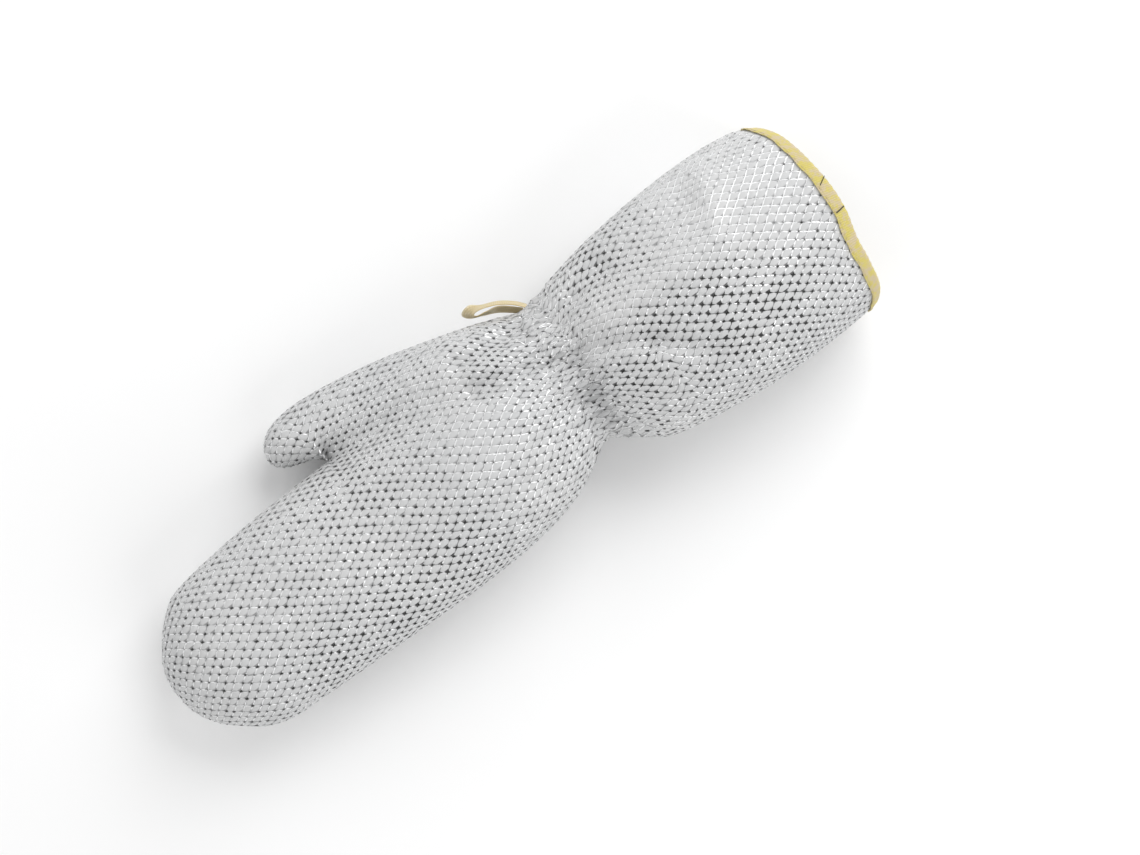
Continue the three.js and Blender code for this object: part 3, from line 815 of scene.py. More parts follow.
class Wire:
    """A socket of a node tree whose arithmetic adds Math nodes."""

    def __init__(self, nodes: "Nodes", socket: bpy.types.NodeSocket) -> None:
        """Wraps a socket of that tree."""
        self.nodes = nodes
        self.socket = socket

    def math(self, operation: str, *values: Any) -> "Wire":
        """One Math node on this and further values."""
        node = self.nodes.add("ShaderNodeMath", {"operation": operation})
        for i, value in enumerate((self, *values)):
            self.nodes.feed(node.inputs[i], value)
        return Wire(self.nodes, node.outputs[0])

    def flipped(self, operation: str, value: Any) -> "Wire":
        """One Math node with this as its second value."""
        node = self.nodes.add("ShaderNodeMath", {"operation": operation})
        self.nodes.feed(node.inputs[0], value)
        self.nodes.feed(node.inputs[1], self)
        return Wire(self.nodes, node.outputs[0])

    def __add__(self, other: Any) -> "Wire":
        """Sum."""
        return self.math("ADD", other)

    __radd__ = __add__

    def __sub__(self, other: Any) -> "Wire":
        """Difference."""
        return self.math("SUBTRACT", other)

    def __rsub__(self, other: Any) -> "Wire":
        """Difference from another value."""
        return self.flipped("SUBTRACT", other)

    def __mul__(self, other: Any) -> "Wire":
        """Product."""
        return self.math("MULTIPLY", other)

    __rmul__ = __mul__

    def __pow__(self, other: Any) -> "Wire":
        """Power."""
        return self.math("POWER", other)

    def step(self, start: float, end: float) -> "Wire":
        """Smooth share from 0 at start to 1 at end."""
        node = self.nodes.add("ShaderNodeMapRange", {"interpolation_type": "SMOOTHSTEP"}, {
            "Value": self, "From Min": start, "From Max": end,
        })
        return Wire(self.nodes, node.outputs[0])

    def to_line(self) -> "Wire":
        """Distance to the nearest whole number."""
        return ((self + 0.5).math("FRACT") - 0.5).math("ABSOLUTE")


class Nodes:
    """Node tree of one material, with its surface shader."""

    def __init__(self, name: str, **fixed: Any) -> None:
        """Starts a material.

        Args:
            name: Name of the material.
            fixed: Values of the shader's own sockets, by name with _ for a space.
        """
        self.material = bpy.data.materials.new(name)
        self.material.use_nodes = True
        self.tree = self.material.node_tree
        self.shader = next(n for n in self.tree.nodes if n.type == "BSDF_PRINCIPLED")
        for socket, value in fixed.items():
            self.shader.inputs[socket.replace("_", " ")].default_value = value

    def feed(self, socket: bpy.types.NodeSocket, value: Any) -> None:
        """Links or sets one socket."""
        if isinstance(value, Wire):
            self.tree.links.new(value.socket, socket)
        else:
            socket.default_value = value

    def add(self, kind: str, settings: dict[str, Any] | None = None,
            inputs: dict[Any, Any] | None = None) -> bpy.types.Node:
        """Adds a node.

        Args:
            kind: Type of the node.
            settings: Its own settings, set first.
            inputs: Values or links of its sockets, by name or number.

        Returns:
            The node.
        """
        node = self.tree.nodes.new(kind)
        for name, value in (settings or {}).items():
            setattr(node, name, value)
        for name, value in (inputs or {}).items():
            self.feed(node.inputs[name], value)
        return node

    def out(self, node: bpy.types.Node, name: Any = 0) -> Wire:
        """One output of a node."""
        return Wire(self, node.outputs[name])

    def pattern(self) -> tuple[Wire, Wire, Wire]:
        """The piece's own pattern: both of its numbers, and both as one vector."""
        both = self.out(self.add("ShaderNodeUVMap", {"uv_map": "pattern"}), "UV")
        parts = self.add("ShaderNodeSeparateXYZ", None, {0: both})
        return self.out(parts, "X"), self.out(parts, "Y"), both

    def each_crossing(self, a: Wire, b: Wire) -> Wire:
        """A number from 0 to 1 of its own for each crossing of the knit."""
        at = self.out(self.add("ShaderNodeCombineXYZ", None, {
            "X": a.math("ROUND"), "Y": b.math("ROUND"),
        }))
        return self.out(self.add("ShaderNodeTexWhiteNoise", None, {"Vector": at}), "Value")

    def checker(self, a: Wire, b: Wire) -> Wire:
        """0 and 1 by turns, like the squares of a chessboard, for two whole numbers."""
        return ((a + b) * 0.5).math("FRACT") * 2

    def tension(self) -> Wire:
        """How far the knit's gaps stand open, from -1 to 1; this also lays out painted light and shade.
        """
        both = self.out(self.add("ShaderNodeUVMap", {"uv_map": "tension"}), "UV")
        return self.out(self.add("ShaderNodeSeparateXYZ", None, {0: both}), "X")

    def place(self) -> Wire:
        """Place on the piece itself."""
        return self.out(self.add("ShaderNodeTexCoord"), "Object")

    def scaled(self, vector: Wire, scale: Sequence[float]) -> Wire:
        """A vector scaled along each axis."""
        return self.out(self.add("ShaderNodeMapping", None, {"Vector": vector, "Scale": scale}))

    def noise(self, vector: Wire, scale: float, detail: float = 2, roughness: float = 0.5) -> Wire:
        """Noise from 0 to 1."""
        return self.out(self.add("ShaderNodeTexNoise", None, {
            "Vector": vector, "Scale": scale, "Detail": detail, "Roughness": roughness,
        }), 0)

    def blend(self, share: Any, low: Any, high: Any) -> Wire:
        """Mix of two colours."""
        node = self.add("ShaderNodeMix", {"data_type": "RGBA"}, {0: share, 6: low, 7: high})
        return self.out(node, 2)

    def finish(self, colour: Wire | None = None, roughness: Wire | None = None,
               height: Wire | None = None, distance: float = 0.0002) -> bpy.types.Material:
        """Feeds the shader.

        Args:
            colour: Base colour.
            roughness: Roughness.
            height: Height of the fine relief, from 0 to 1.
            distance: Depth of that relief in metres.

        Returns:
            The material.
        """
        if colour is not None:
            self.feed(self.shader.inputs["Base Color"], colour)
        if roughness is not None:
            self.feed(self.shader.inputs["Roughness"], roughness)
        if height is not None:
            bump = self.add("ShaderNodeBump", None, {
                "Strength": 1.0, "Distance": distance, "Height": height,
            })
            self.feed(self.shader.inputs["Normal"], self.out(bump))
        return self.material


def grey(value: float, warmth: float = 0.0) -> Colour:
    """Near-neutral colour."""
    return (value * (1 + warmth), value, value * (1 - warmth), 1.0)


@dataclass(frozen=True)
class GroundCloth:
    """Matte pale grey pads, with painted shade in the grooves and in the dark stars where four meet,
    painted shadow crescents along their sides, and pale strands of painted highlight.
    """

    pad: float = 0.575
    # Colour of the painted shade in the grooves between pads.
    groove_shade: float = 0.27
    groove_band: Band = (0.46, 0.51)
    groove_share: float = 0.7
    # Colour of the painted highlight strands.
    strand_highlight: float = 0.8
    strand_highlight_side: float = 0.075
    strand_highlight_band: Band = (0.02, 0.06)
    # Colour of the painted shade in the stars.
    star_shade: float = 0.05
    star_edge: float = 0.59
    star_blur: float = 0.03
    star_unevenness: float = 0.05
    open_reach: float = 0.06
    quiet_star: float = 0.035
    roundness: float = 2.2
    shadow_side: float = 0.04
    # Colour of the painted shadow crescents.
    crescent_shadow: float = 0.035
    quiet_share: float = 0.25
    rim_band: Band = (0.51, 0.55)
    low_side: Band = (0.7, 1.25)
    high_side: Band = (1.0, 1.3)
    low_ring: Band = (0.43, 0.465)
    high_ring: Band = (0.44, 0.475)
    fibre: float = 0.00008

    def pads(self, n: Nodes, where: Wire, fine: Wire) -> Wire:
        """Cloudy grey of the pads with finer fibres."""
        cloudy = n.noise(where, 24, 3)
        pad = n.blend(cloudy, grey(self.pad * 0.95, -0.015), grey(self.pad * 1.05, 0.004))
        return n.blend(fine.step(0.55, 0.8) * 0.5, pad, grey(self.pad * 0.86, -0.01))

    def crescents(self, n: Nodes, a: Wire, b: Wire, from_middle: Wire) -> Wire:
        """Share of the dark crescents of painted shadow along two sides of a pad, fainter at every
        second one.
        """
        side = b.math("FRACT") - a.math("FRACT")
        side = side.math("DIVIDE", from_middle.math("MAXIMUM", 0.05))
        low, high = side.step(*self.low_side), (0 - side).step(*self.high_side)
        rim = 1 - from_middle.step(*self.rim_band)
        share = (from_middle + low * 0.1).step(*self.low_ring) * low * rim
        share = share + (from_middle + high * 0.05).step(*self.high_ring) * high * rim * 0.5
        second = n.checker((a - self.shadow_side).math("FLOOR"), (b + self.shadow_side).math("FLOOR"))
        share = share * (second * (1 - self.quiet_share) + self.quiet_share)
        return share * (n.tension() * 0.8 + 0.5).math("MAXIMUM", 0.1).math("MINIMUM", 1)

    def stars(self, n: Nodes, a: Wire, b: Wire, from_middle: Wire) -> Wire:
        """Share of the dark stars of painted shade where four pads meet, smaller at every second
        crossing.
        """
        spread = n.each_crossing(a, b) * self.star_unevenness + n.tension() * self.open_reach
        spread = spread - n.checker(a.math("ROUND"), b.math("ROUND")) * self.quiet_star
        return (from_middle + spread - self.star_edge).step(0, self.star_blur)

    def strands(self, n: Nodes, a: Wire, b: Wire, where: Wire) -> Wire:
        """Share of the pale strands of painted highlight beside the grooves, broken here and there."""
        near = (a + self.strand_highlight_side).to_line().math("MINIMUM", (b - self.strand_highlight_side).to_line())
        return (1 - near.step(*self.strand_highlight_band)) * n.noise(where, 420, 2).step(0.36, 0.5)

    def material(self) -> bpy.types.Material:
        """Builds the finish."""
        n = Nodes("ground_cloth", Roughness=0.86, Specular_IOR_Level=0.25, Sheen_Weight=0.12,
                  Sheen_Roughness=0.5)
        a, b, _ = n.pattern()
        near_a, near_b = (a - self.shadow_side).to_line(), (b + self.shadow_side).to_line()
        where = n.place()
        fine = n.noise(where, 1500, 3, 0.7)
        from_middle = (0.5 - near_a) ** self.roundness + (0.5 - near_b) ** self.roundness
        from_middle = from_middle ** (1 / self.roundness)
        # Painted shade: the grooves between pads are darkened, set to one side of the yarn by
        # shadow_side.
        groove_shade = from_middle.step(*self.groove_band) * self.groove_share
        colour = n.blend(groove_shade, self.pads(n, where, fine), grey(self.groove_shade, -0.01))
        # Painted shadow: dark crescents along two sides of each pad, fuller where the gaps are set open.
        colour = n.blend(self.crescents(n, a, b, from_middle), colour, grey(self.crescent_shadow))
        # Painted highlight: pale lines beside the grooves, on the side away from the painted shadow,
        # standing for glinting yarn; stronger where the gaps are set closed.
        strand_highlight = self.strands(n, a, b, where) * (0.75 - n.tension() * 0.3)
        colour = n.blend(strand_highlight, colour, grey(self.strand_highlight))
        # Painted shade in the pits where four pads meet, larger where the gaps are set open.
        star_shade = self.stars(n, a, b, from_middle) * (0.75 + n.tension() * 0.4)
        colour = n.blend(star_shade, colour, grey(self.star_shade))
        return n.finish(colour, height=fine * 0.6 + n.noise(where, 600, 2) * 0.4,
                        distance=self.fibre)


@dataclass(frozen=True)
class MetalYarn:
    """Flat silver yarn, crinkled so that it glints, with painted glints in random bright patches, and
    dark with painted shade where it dives at a crossing.
    """

    # Bright tint for the painted glints, and the darker yarn colour between them.
    tint: Colour = (0.89, 0.895, 0.90, 1.0)
    dark: Colour = (0.40, 0.405, 0.41, 1.0)
    # Colour of the painted shade at crossings.
    dive_shade: float = 0.05
    dive_shade_band: Band = (-0.1, 0.08)
    glint_band: Band = (0.36, 0.52)
    unevenness: float = 0.27
    open_reach: float = 0.24
    crinkle: float = 0.0002

    def material(self) -> bpy.types.Material:
        """Builds the finish."""
        n = Nodes("metal_yarn", Metallic=0.6)
        a, b, _ = n.pattern()
        where = n.place()
        dull = n.noise(where, 900, 2)
        # Painted glints: random patches of the bright tint among the dark one, more of them where the
        # gaps are set closed.
        painted_glint = (n.noise(where, 280, 2) - n.tension() * 0.08).step(*self.glint_band)
        colour = n.blend(painted_glint, self.dark, self.tint)
        spread = n.each_crossing(a, b) * self.unevenness + n.tension() * self.open_reach
        reach = a.to_line() + b.to_line() * 1.15 - spread
        # Painted shade where the yarn dives at a crossing, wider where the gaps are set open.
        colour = n.blend(reach.step(*self.dive_shade_band), grey(self.dive_shade), colour)
        dull = dull * 0.3 + 0.2 - n.tension() * 0.25
        return n.finish(colour, dull, n.noise(where, 700, 3, 0.6), self.crinkle)


@dataclass(frozen=True)
class Thread:
    """Sewing thread, uneven in tone and with a fine relief."""

    name: str
    dark: float
    light: float
    roughness: float
    metallic: float
    tone_scale: float
    relief_scale: float
    relief: float

    def material(self) -> bpy.types.Material:
        """Builds the finish."""
        n = Nodes(self.name, Roughness=self.roughness, Metallic=self.metallic)
        where = n.place()
        tone = n.blend(n.noise(where, self.tone_scale, 2), grey(self.dark), grey(self.light))
        return n.finish(tone, height=n.noise(where, self.relief_scale, 2), distance=self.relief)


SILVER_THREAD = Thread("seam_thread", 0.385, 0.6875, 0.5, 0.35, 500, 2500, 0.0001)
BLACK_THREAD = Thread("black_thread", 0.01, 0.045, 0.6, 0, 1200, 3000, 0.00008)


@dataclass(frozen=True)
class YellowTape:
    """Woven yellow tape with fine ribs across it and paler worn flecks."""

    yellow: Colour = (0.63, 0.54, 0.155, 1.0)
    cream: Colour = (0.60, 0.50, 0.35, 1.0)
    rib_pitch: float = 0.95
    rib_shade: float = 0.32
    shade: float = 0.72
    worn_band: Band = (0.44, 0.56)
    blotch_scale: tuple[float, float, float] = (0.26, 0.22, 1)
    fleck_scale: tuple[float, float, float] = (1.5, 0.7, 1)

    def material(self) -> bpy.types.Material:
        """Builds the finish."""
        n = Nodes("yellow_tape", Roughness=0.8, Specular_IOR_Level=0.3, Sheen_Weight=0.15)
        along, across, both = n.pattern()
        rib = ((along * (2 * math.pi / self.rib_pitch)).math("SINE") + 1) * 0.5
        blotch = n.noise(n.scaled(both, self.blotch_scale), 1.0, 3, 0.6)
        fleck = n.noise(n.scaled(both, self.fleck_scale), 1.0, 3, 0.7)
        worn = (blotch * 0.65 + fleck * 0.35).step(*self.worn_band)
        colour = n.blend(worn, self.yellow, self.cream)
        dark = tuple(self.shade * c for c in self.yellow[:3]) + (1.0,)
        colour = n.blend((1 - rib) * self.rib_shade, colour, dark)
        weave = rib * 0.7 + ((across * 9.0).math("SINE") + 1) * 0.15
        return n.finish(colour, height=weave, distance=0.00012)


@dataclass(frozen=True)
class OchreElastic:
    """Ochre elastic band with fine cross threads between its lengthwise ribs."""

    light: Colour = (0.95, 0.87, 0.66, 1.0)
    dark: Colour = (0.5, 0.36, 0.11, 1.0)
    open_weave: float = 0.8
    open_band: Band = (0.4, 0.8)
    valley_band: Band = (0.14, 0.28)
    edge_band: Band = (0.3, 0.1)
    ribs: int = 5

    def material(self) -> bpy.types.Material:
        """Builds the finish."""
        n = Nodes("ochre_elastic", Roughness=0.7, Specular_IOR_Level=0.35)
        along, across, both = n.pattern()
        half = self.ribs / 2
        edge = (across - half).math("ABSOLUTE")
        edge = edge.step(half - self.edge_band[0], half - self.edge_band[1])
        valley = across.to_line().step(*self.valley_band) * (1 - edge)
        threads = ((along * 7.0).math("SINE") + 1) * 0.5
        spots = n.noise(both, 1.1, 3)
        colour = n.blend(valley * (0.8 + threads * 0.1) + spots * 0.12, self.dark, self.light)
        gaps = valley * threads.step(*self.open_band) * self.open_weave
        n.feed(n.shader.inputs["Alpha"], 1 - gaps)
        return n.finish(colour, height=threads * 0.5 + spots * 0.5, distance=0.00015)


@dataclass
class KnitPanel:
    """A knit panel: ground cloth in pads, with the net of metal yarn that lies between them."""

    cloth: PanelCloth
    name: str
    node: str
    slot: str
    cell_across: float = 4.4
    cell_along: float = 6.35
    first_row: float = 1.6
    shares: tuple[float, ...] = (0, 0.14, 0.86)
    pad_height: float = 0.42
    pad_power: float = 0.3
    pad_unevenness: float = 0.12
    at_line: float = 0.01
    groove_depth: float = 0.2
    corner_pit: float = 0.35
    wall: float = 2.0
    inner_relief: float = 0.25
    half_gap: float = 0.15
    floor: float = 0.04
    snap: float = 0.22
    seam_dip: float = 0.7
    seam_dip_width: float = 1.3
    gather_height: float = 0.75
    gather_pitch: float = 5.1
    gather_reach: float = 13
    gather_sway: float = 1.4
    gather_sway_length: float = 8
    wide_gather: float = 0.6
    wide_gather_pitch: float = 9.7
    wide_gather_slant: float = 6
    fine_gather: float = 0.45
    gather_fade: float = 6
    even_mouth: float = 12
    even_margin: float = 9.0
    seam_fade: Band = (0.2, 2.6)
    mouth_fade: Band = (3.6, 6.5)
    net_from_mouth: float = 4.2
    net_over_cloth: float = 0.05
    crush_at: float = 134.0
    crush_spread: float = 17.0
    net_edge: float = 0.5
    yarn_steps: int = 4
    yarn_width: float = 0.4
    yarn_cross_width: float = 0.36
    yarn_aside: float = 0.045
    yarn_thickness: float = 0.2
    yarn_level: float = -0.05
    yarn_weave: float = 0.1
    yarn_bow: float = 0.055
    yarn_twist: float = 0.38

    def wander(self, across: np.ndarray, along: np.ndarray) -> tuple[np.ndarray, np.ndarray]:
        """Shifts the knit a little this way and that, as real cloth has it."""
        crush = bell(along - self.crush_at, self.crush_spread)
        shifts = [0, 0]
        for crushed, way, amount, by_across, by_along, phase in KNIT_WANDER.rows:
            share = amount * crush if crushed else amount
            shifts[way] = shifts[way] + share * np.sin(across / by_across + along / by_along + phase)
        return across + shifts[0], along + shifts[1]

    def flat(self, a: np.ndarray, b: np.ndarray) -> tuple[np.ndarray, np.ndarray]:
        """Place on the flat cloth of a point of the knit, given in cells along both yarns."""
        across = (a - b) * self.cell_across / 2
        along = self.first_row + (a + b) * self.cell_along / 2
        return self.wander(across, along)

    def reach(self) -> tuple[int, int]:
        """First and last cell that the cloth may need."""
        c = self.cloth
        wide = max(-c.body.left.min(), c.body.right.max(), c.thumb.right.max()) / self.cell_across
        long = max(c.hand.along[-1], c.thumb.along[-1]) / self.cell_along
        return -math.ceil(wide) - 2, math.ceil(long + wide) + 2

    def base_relief(self, across: np.ndarray, along: np.ndarray,
                    read: dict[str, np.ndarray]) -> np.ndarray:
        """Height of seam groove and wrist gathers over the smooth form."""
        margin = np.maximum(read["margin"], 0)
        eased = mix(self.even_margin, margin, smooth_step(0, self.even_mouth, along))
        side_margin = np.where(along < self.even_mouth, eased, margin)
        dip = -self.seam_dip * bell(side_margin, self.seam_dip_width)
        y = read["points"][..., 1] + self.cloth.form.centre_y
        near = bell(y - self.cloth.form.ripple_y, self.gather_reach)
        near = near * smooth_step(0, self.gather_fade, margin)
        turn = 2 * math.pi * across
        sway = self.gather_sway * np.sin(along / self.gather_sway_length)
        wave = np.sin(turn / self.gather_pitch + sway)
        slant = along / self.wide_gather_slant
        wave = wave + self.wide_gather * np.sin(turn / self.wide_gather_pitch - slant)
        wave = wave + self.fine_gather * np.sin(along / 1.1 + across / 1.9)
        return dip + self.gather_height * wave * near

    def lift(self, read: dict[str, np.ndarray], height: np.ndarray) -> np.ndarray:
        """Moves points out along their normals, above the table and on their side of the seam."""
        points = read["points"] + read["normals"] * height[..., None]
        level = read["levels"] + self.cloth.side.value * self.half_gap
        if self.cloth.side is Side.BACK:
            points[..., 2] = np.maximum(points[..., 2], level)
        else:
            points[..., 2] = np.clip(points[..., 2], self.floor, level)
        return points

    def tension(self, points: np.ndarray) -> np.ndarray:
        """How far the gaps stand open at points, from the spots where the cloth is slack or taut; this
        also lays out painted light and shade.
        """
        form = self.cloth.form
        total = np.zeros(len(points))
        for x, y, spread, share in KNIT_TENSION_AND_SHADING.rows:
            away = np.hypot(points[:, 0] + form.centre_x - x, points[:, 1] + form.centre_y - y)
            total += share * bell(away, spread)
        return total

    def build_cloth(self, material: bpy.types.Material) -> bpy.types.Object:
        """Builds the ground cloth as a closed wall.

        Args:
            material: Its finish.

        Returns:
            The piece.
        """
        first, last = self.reach()
        ticks = (np.arange(first, last)[:, None] + np.array(self.shares)[None, :]).ravel()
        a, b = np.meshgrid(ticks, ticks, indexing="ij")
        across, along = self.flat(a, b)
        along = np.where(np.abs(along) < self.snap, 0, along)
        count = a.size
        past = along > self.cloth.turn
        beyond = across > self.cloth.notch(along)
        on_hand = self.cloth.place(across, along, np.zeros_like(past))
        on_thumb = self.cloth.place(across, along, np.ones_like(past))
        number = np.arange(count).reshape(a.shape)
        thumb_number = np.where(past, number + count, number)
        pads = self.pads(a, b)
        outer, inner, inside = [], [], []
        for read in (on_hand, on_thumb):
            margin = read["margin"]
            fade = smooth_step(*self.seam_fade, margin) * smooth_step(*self.mouth_fade, along)
            base = self.base_relief(across, along, read)
            outer.append(self.lift(read, base + fade * pads).reshape(-1, 3))
            inner.append(self.lift(read, base * self.inner_relief - self.wall).reshape(-1, 3))
            inside.append((margin > 1e-4).ravel())
        outer_points, inner_points = np.concatenate(outer), np.concatenate(inner)
        inside = np.concatenate(inside)
        past_corners, beyond_corners = squares(past), squares(beyond)
        centre_beyond = beyond_corners.mean(1) > 0.5
        some_past, all_past = past_corners.any(1), past_corners.all(1)
        some_beyond, all_beyond = beyond_corners.any(1), beyond_corners.all(1)
        for_thumb = some_past & np.where(all_past, some_beyond, centre_beyond)
        for_hand = ~some_past | np.where(all_past, ~all_beyond, ~centre_beyond)
        faces = np.concatenate([squares(number)[for_hand], squares(thumb_number)[for_thumb]])
        faces = faces[inside[faces].any(1)]
        total = len(outer_points)
        rim = self.rim(faces, total)
        if self.cloth.side is Side.PALM:
            faces, rim = faces[:, ::-1], rim[:, ::-1]
        walls = np.stack([rim[:, 1], rim[:, 0], rim[:, 0] + total, rim[:, 1] + total], 1)
        every = np.concatenate([faces, faces[:, ::-1] + total, walls])
        pattern = np.stack([a.ravel(), b.ravel()], 1)
        every_point = np.concatenate([outer_points, inner_points])
        piece = make_piece(f"{self.name}_cloth", every_point, every,
                           np.concatenate([pattern] * 4), self.tension(every_point))
        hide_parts(self.node)
        return hang_on(piece, material)

    def rim(self, faces: np.ndarray, total: int) -> np.ndarray:
        """Edges that only one face has, in that face's direction."""
        edges = np.stack([faces, np.roll(faces, -1, axis=1)], -1).reshape(-1, 2)
        ahead = edges[:, 0] * total + edges[:, 1]
        backward = edges[:, 1] * total + edges[:, 0]
        return edges[~np.isin(ahead, backward)]

    def pads(self, a: np.ndarray, b: np.ndarray) -> np.ndarray:
        """Height of the pads over the smooth form: puffed cells with deeper pits where four meet."""
        wave_a, wave_b = np.sin(math.pi * a), np.sin(math.pi * b)
        hump = np.abs(wave_a * wave_b) ** self.pad_power
        corner = (np.abs(wave_a) < self.at_line) & (np.abs(wave_b) < self.at_line)
        uneven = 1 + self.pad_unevenness * np.sin(np.floor(a) * 12.9 + np.floor(b) * 78.2)
        return self.pad_height * uneven * hump - self.groove_depth - self.corner_pit * corner

    def build_net(self, material: bpy.types.Material) -> bpy.types.Object:
        """Builds the net of flat yarn, both ways, each yarn over one and under the next.

        Args:
            material: Its finish.

        Returns:
            The piece.
        """
        first, last = self.reach()
        whole = np.arange(first, last)
        fine = np.arange(first, last, 1 / self.yarn_steps)
        points, faces, pattern, start = [], [], [], 0
        for swap in (False, True):
            line, step = np.meshgrid(whole, fine, indexing="ij")
            knit = np.stack([line, step] if swap else [step, line], -1)
            pattern.append(np.repeat(knit.reshape(-1, 2), 3, axis=0))
            bow = self.yarn_bow * np.sin(math.pi * (step % 1)) * (1 if swap else -1)
            aside = bow + (-self.yarn_aside if swap else self.yarn_aside)
            a, b = (line + aside, step) if swap else (step, line + aside)
            across, along = self.flat(a, b)
            on_thumb = across > self.cloth.notch(along)
            read = self.cloth.place(across, along, on_thumb)
            fade = smooth_step(*self.seam_fade, read["margin"])
            over = np.where((line + np.round(step)) % 2 == 0, 1, -1) * (-1 if swap else 1)
            weave = self.yarn_weave * over * np.cos(math.pi * (step % 1)) ** 2
            height = self.base_relief(across, along, read) + self.yarn_level * fade + weave
            centre = self.lift(read, height + self.net_over_cloth)
            heading = unit(np.gradient(centre, axis=1))
            sideways = unit(np.cross(read["normals"], heading))
            taper = np.abs(np.cos(math.pi * (step % 1))) ** 3
            width = mix(self.yarn_width, self.yarn_cross_width, taper)
            turn = self.yarn_twist * np.sin(line * 12.99 + np.round(step * 2) * 78.23 + 37 * swap)
            flat_way = sideways * np.cos(turn)[..., None] + read["normals"] * np.sin(turn)[..., None]
            half = flat_way * (width / 2)[..., None]
            under = self.lift({**read, "points": centre}, np.full(height.shape, -self.yarn_thickness))
            ring = np.stack([centre + half, centre - half, under], 2)
            ok = (read["margin"] > self.net_edge) & (along > self.net_from_mouth)
            past = along > self.cloth.turn
            joined = ok[:, :-1] & ok[:, 1:]
            joined &= ~(past[:, :-1] & past[:, 1:] & (on_thumb[:, :-1] != on_thumb[:, 1:]))
            number = start + np.arange(line.size * 3).reshape(*line.shape, 3)
            for j in range(3):
                k = (j + 1) % 3
                strip = (number[:, :-1, j], number[:, 1:, j], number[:, 1:, k], number[:, :-1, k])
                faces.append(np.stack([corner[joined] for corner in strip], 1))
            ring[..., 2] = np.maximum(ring[..., 2], self.floor)
            points.append(ring.reshape(-1, 3))
            start += line.size * 3
        every_point = np.concatenate(points)
        piece = make_piece(f"{self.name}_net", every_point, np.concatenate(faces),
                           np.concatenate(pattern), self.tension(every_point), smooth=False)
        return hang_on(piece, material)

    def build(self, ground: bpy.types.Material, yarn: bpy.types.Material) -> None:
        """Builds cloth and net, and logs the size of the flat cut."""
        cloth = self.build_cloth(ground)
        net = self.build_net(yarn)
        c = self.cloth
        wide = max(c.body.right.max(), c.thumb.right.max()) - c.body.left.min()
        long = c.hand.along[-1]
        area = c.flat_area()
        LOG.info("%s: %.0f x %.0f mm flat, %.0f square mm", self.name, wide, long, area)
        wide * METRES
        long * METRES


def stitches(runs: Sequence[tuple[np.ndarray, ...]], width: float,
             height: float) -> tuple[np.ndarray, np.ndarray]:
    """Small humped stitches, each a tapered bead of thread.

    Args:
        runs: For each run, both ends of its stitches and the direction away from the cloth.
        width: Width of the thread.
        height: Rise of a stitch's middle over its ends.

    Returns:
        Points and faces of all of them.
    """
    starts, ends, outward = (np.concatenate(rows) for rows in zip(*runs))
    heading = unit(ends - starts)
    sideways = unit(np.cross(outward, heading))
    rings = []
    for share, size in ((0, 0.35), (0.2, 0.85), (0.5, 1.0), (0.8, 0.85), (1, 0.35)):
        centre = mix(starts, ends, share) + outward * height * math.sin(math.pi * share)
        ring = [
            centre + width / 2 * size * (math.cos(turn) * sideways + math.sin(turn) * outward)
            for turn in (2 * math.pi * k / 6 for k in range(6))
        ]
        rings.append(np.stack(ring, 1))
    points = np.stack(rings, 1)
    number = np.arange(points[..., 0].size).reshape(points.shape[:3])
    faces = []
    for i in range(4):
        for j in range(6):
            k = (j + 1) % 6
            faces.append(np.stack([number[:, i, j], number[:, i + 1, j],
                                   number[:, i + 1, k], number[:, i, k]], 1))
    for i, order in ((0, (0, 1, 2, 3)), (0, (0, 3, 4, 5)), (4, (3, 2, 1, 0)), (4, (5, 4, 3, 0))):
        faces.append(np.stack([number[:, i, j] for j in order], 1))
    return points.reshape(-1, 3), np.concatenate(faces)


@dataclass
class SeamStitching:
    """Overcast stitches that close the panels' seam all round."""

    back: PanelCloth
    palm: PanelCloth
    pitch: float = 3.1
    reach: float = 1.5
    slant: float = 0.7
    width: float = 0.5
    inset: float = 0.42
    hump: float = 0.35
    from_mouth: float = 6

    def lines(self) -> list[tuple[np.ndarray, np.ndarray]]:
        """The seam's runs as points and outward directions."""
        found = []
        for grid, palm, edge in (
            (self.back.body, self.palm.body, 0), (self.back.hand, self.palm.hand, 0),
            (self.back.hand, self.palm.hand, -1), (self.back.thumb, self.palm.thumb, 0),
            (self.back.thumb, self.palm.thumb, -1), (self.back.body, self.palm.body, -1),
        ):
            rows = slice(None) if grid is not self.back.body else grid.along > self.from_mouth
            points = (grid.points[rows, edge] + palm.points[rows, edge]) / 2
            points[:, 2] = grid.levels[rows, edge]
            found.append((points, grid.normals[rows, edge]))
        return found

    def build(self, material: bpy.types.Material) -> bpy.types.Object:
        """Builds the stitches."""
        runs = []
        for points, outward in self.lines():
            length = lengths_along(points)
            at = np.arange(self.pitch / 2, length[-1], self.pitch)
            place = read_along(at, length, points)
            out = unit(read_along(at, length, outward))
            heading = unit(np.cross(out, np.array([0, 0, 1.0])))
            swing = heading * self.slant
            rise = np.array([0, 0, self.reach])
            inside = place - out * self.inset
            runs.append((inside - rise - swing, inside + rise + swing, out))
        piece = make_piece("seam_stitches", *stitches(runs, self.width, self.hump))
        return hang_on(piece, material)


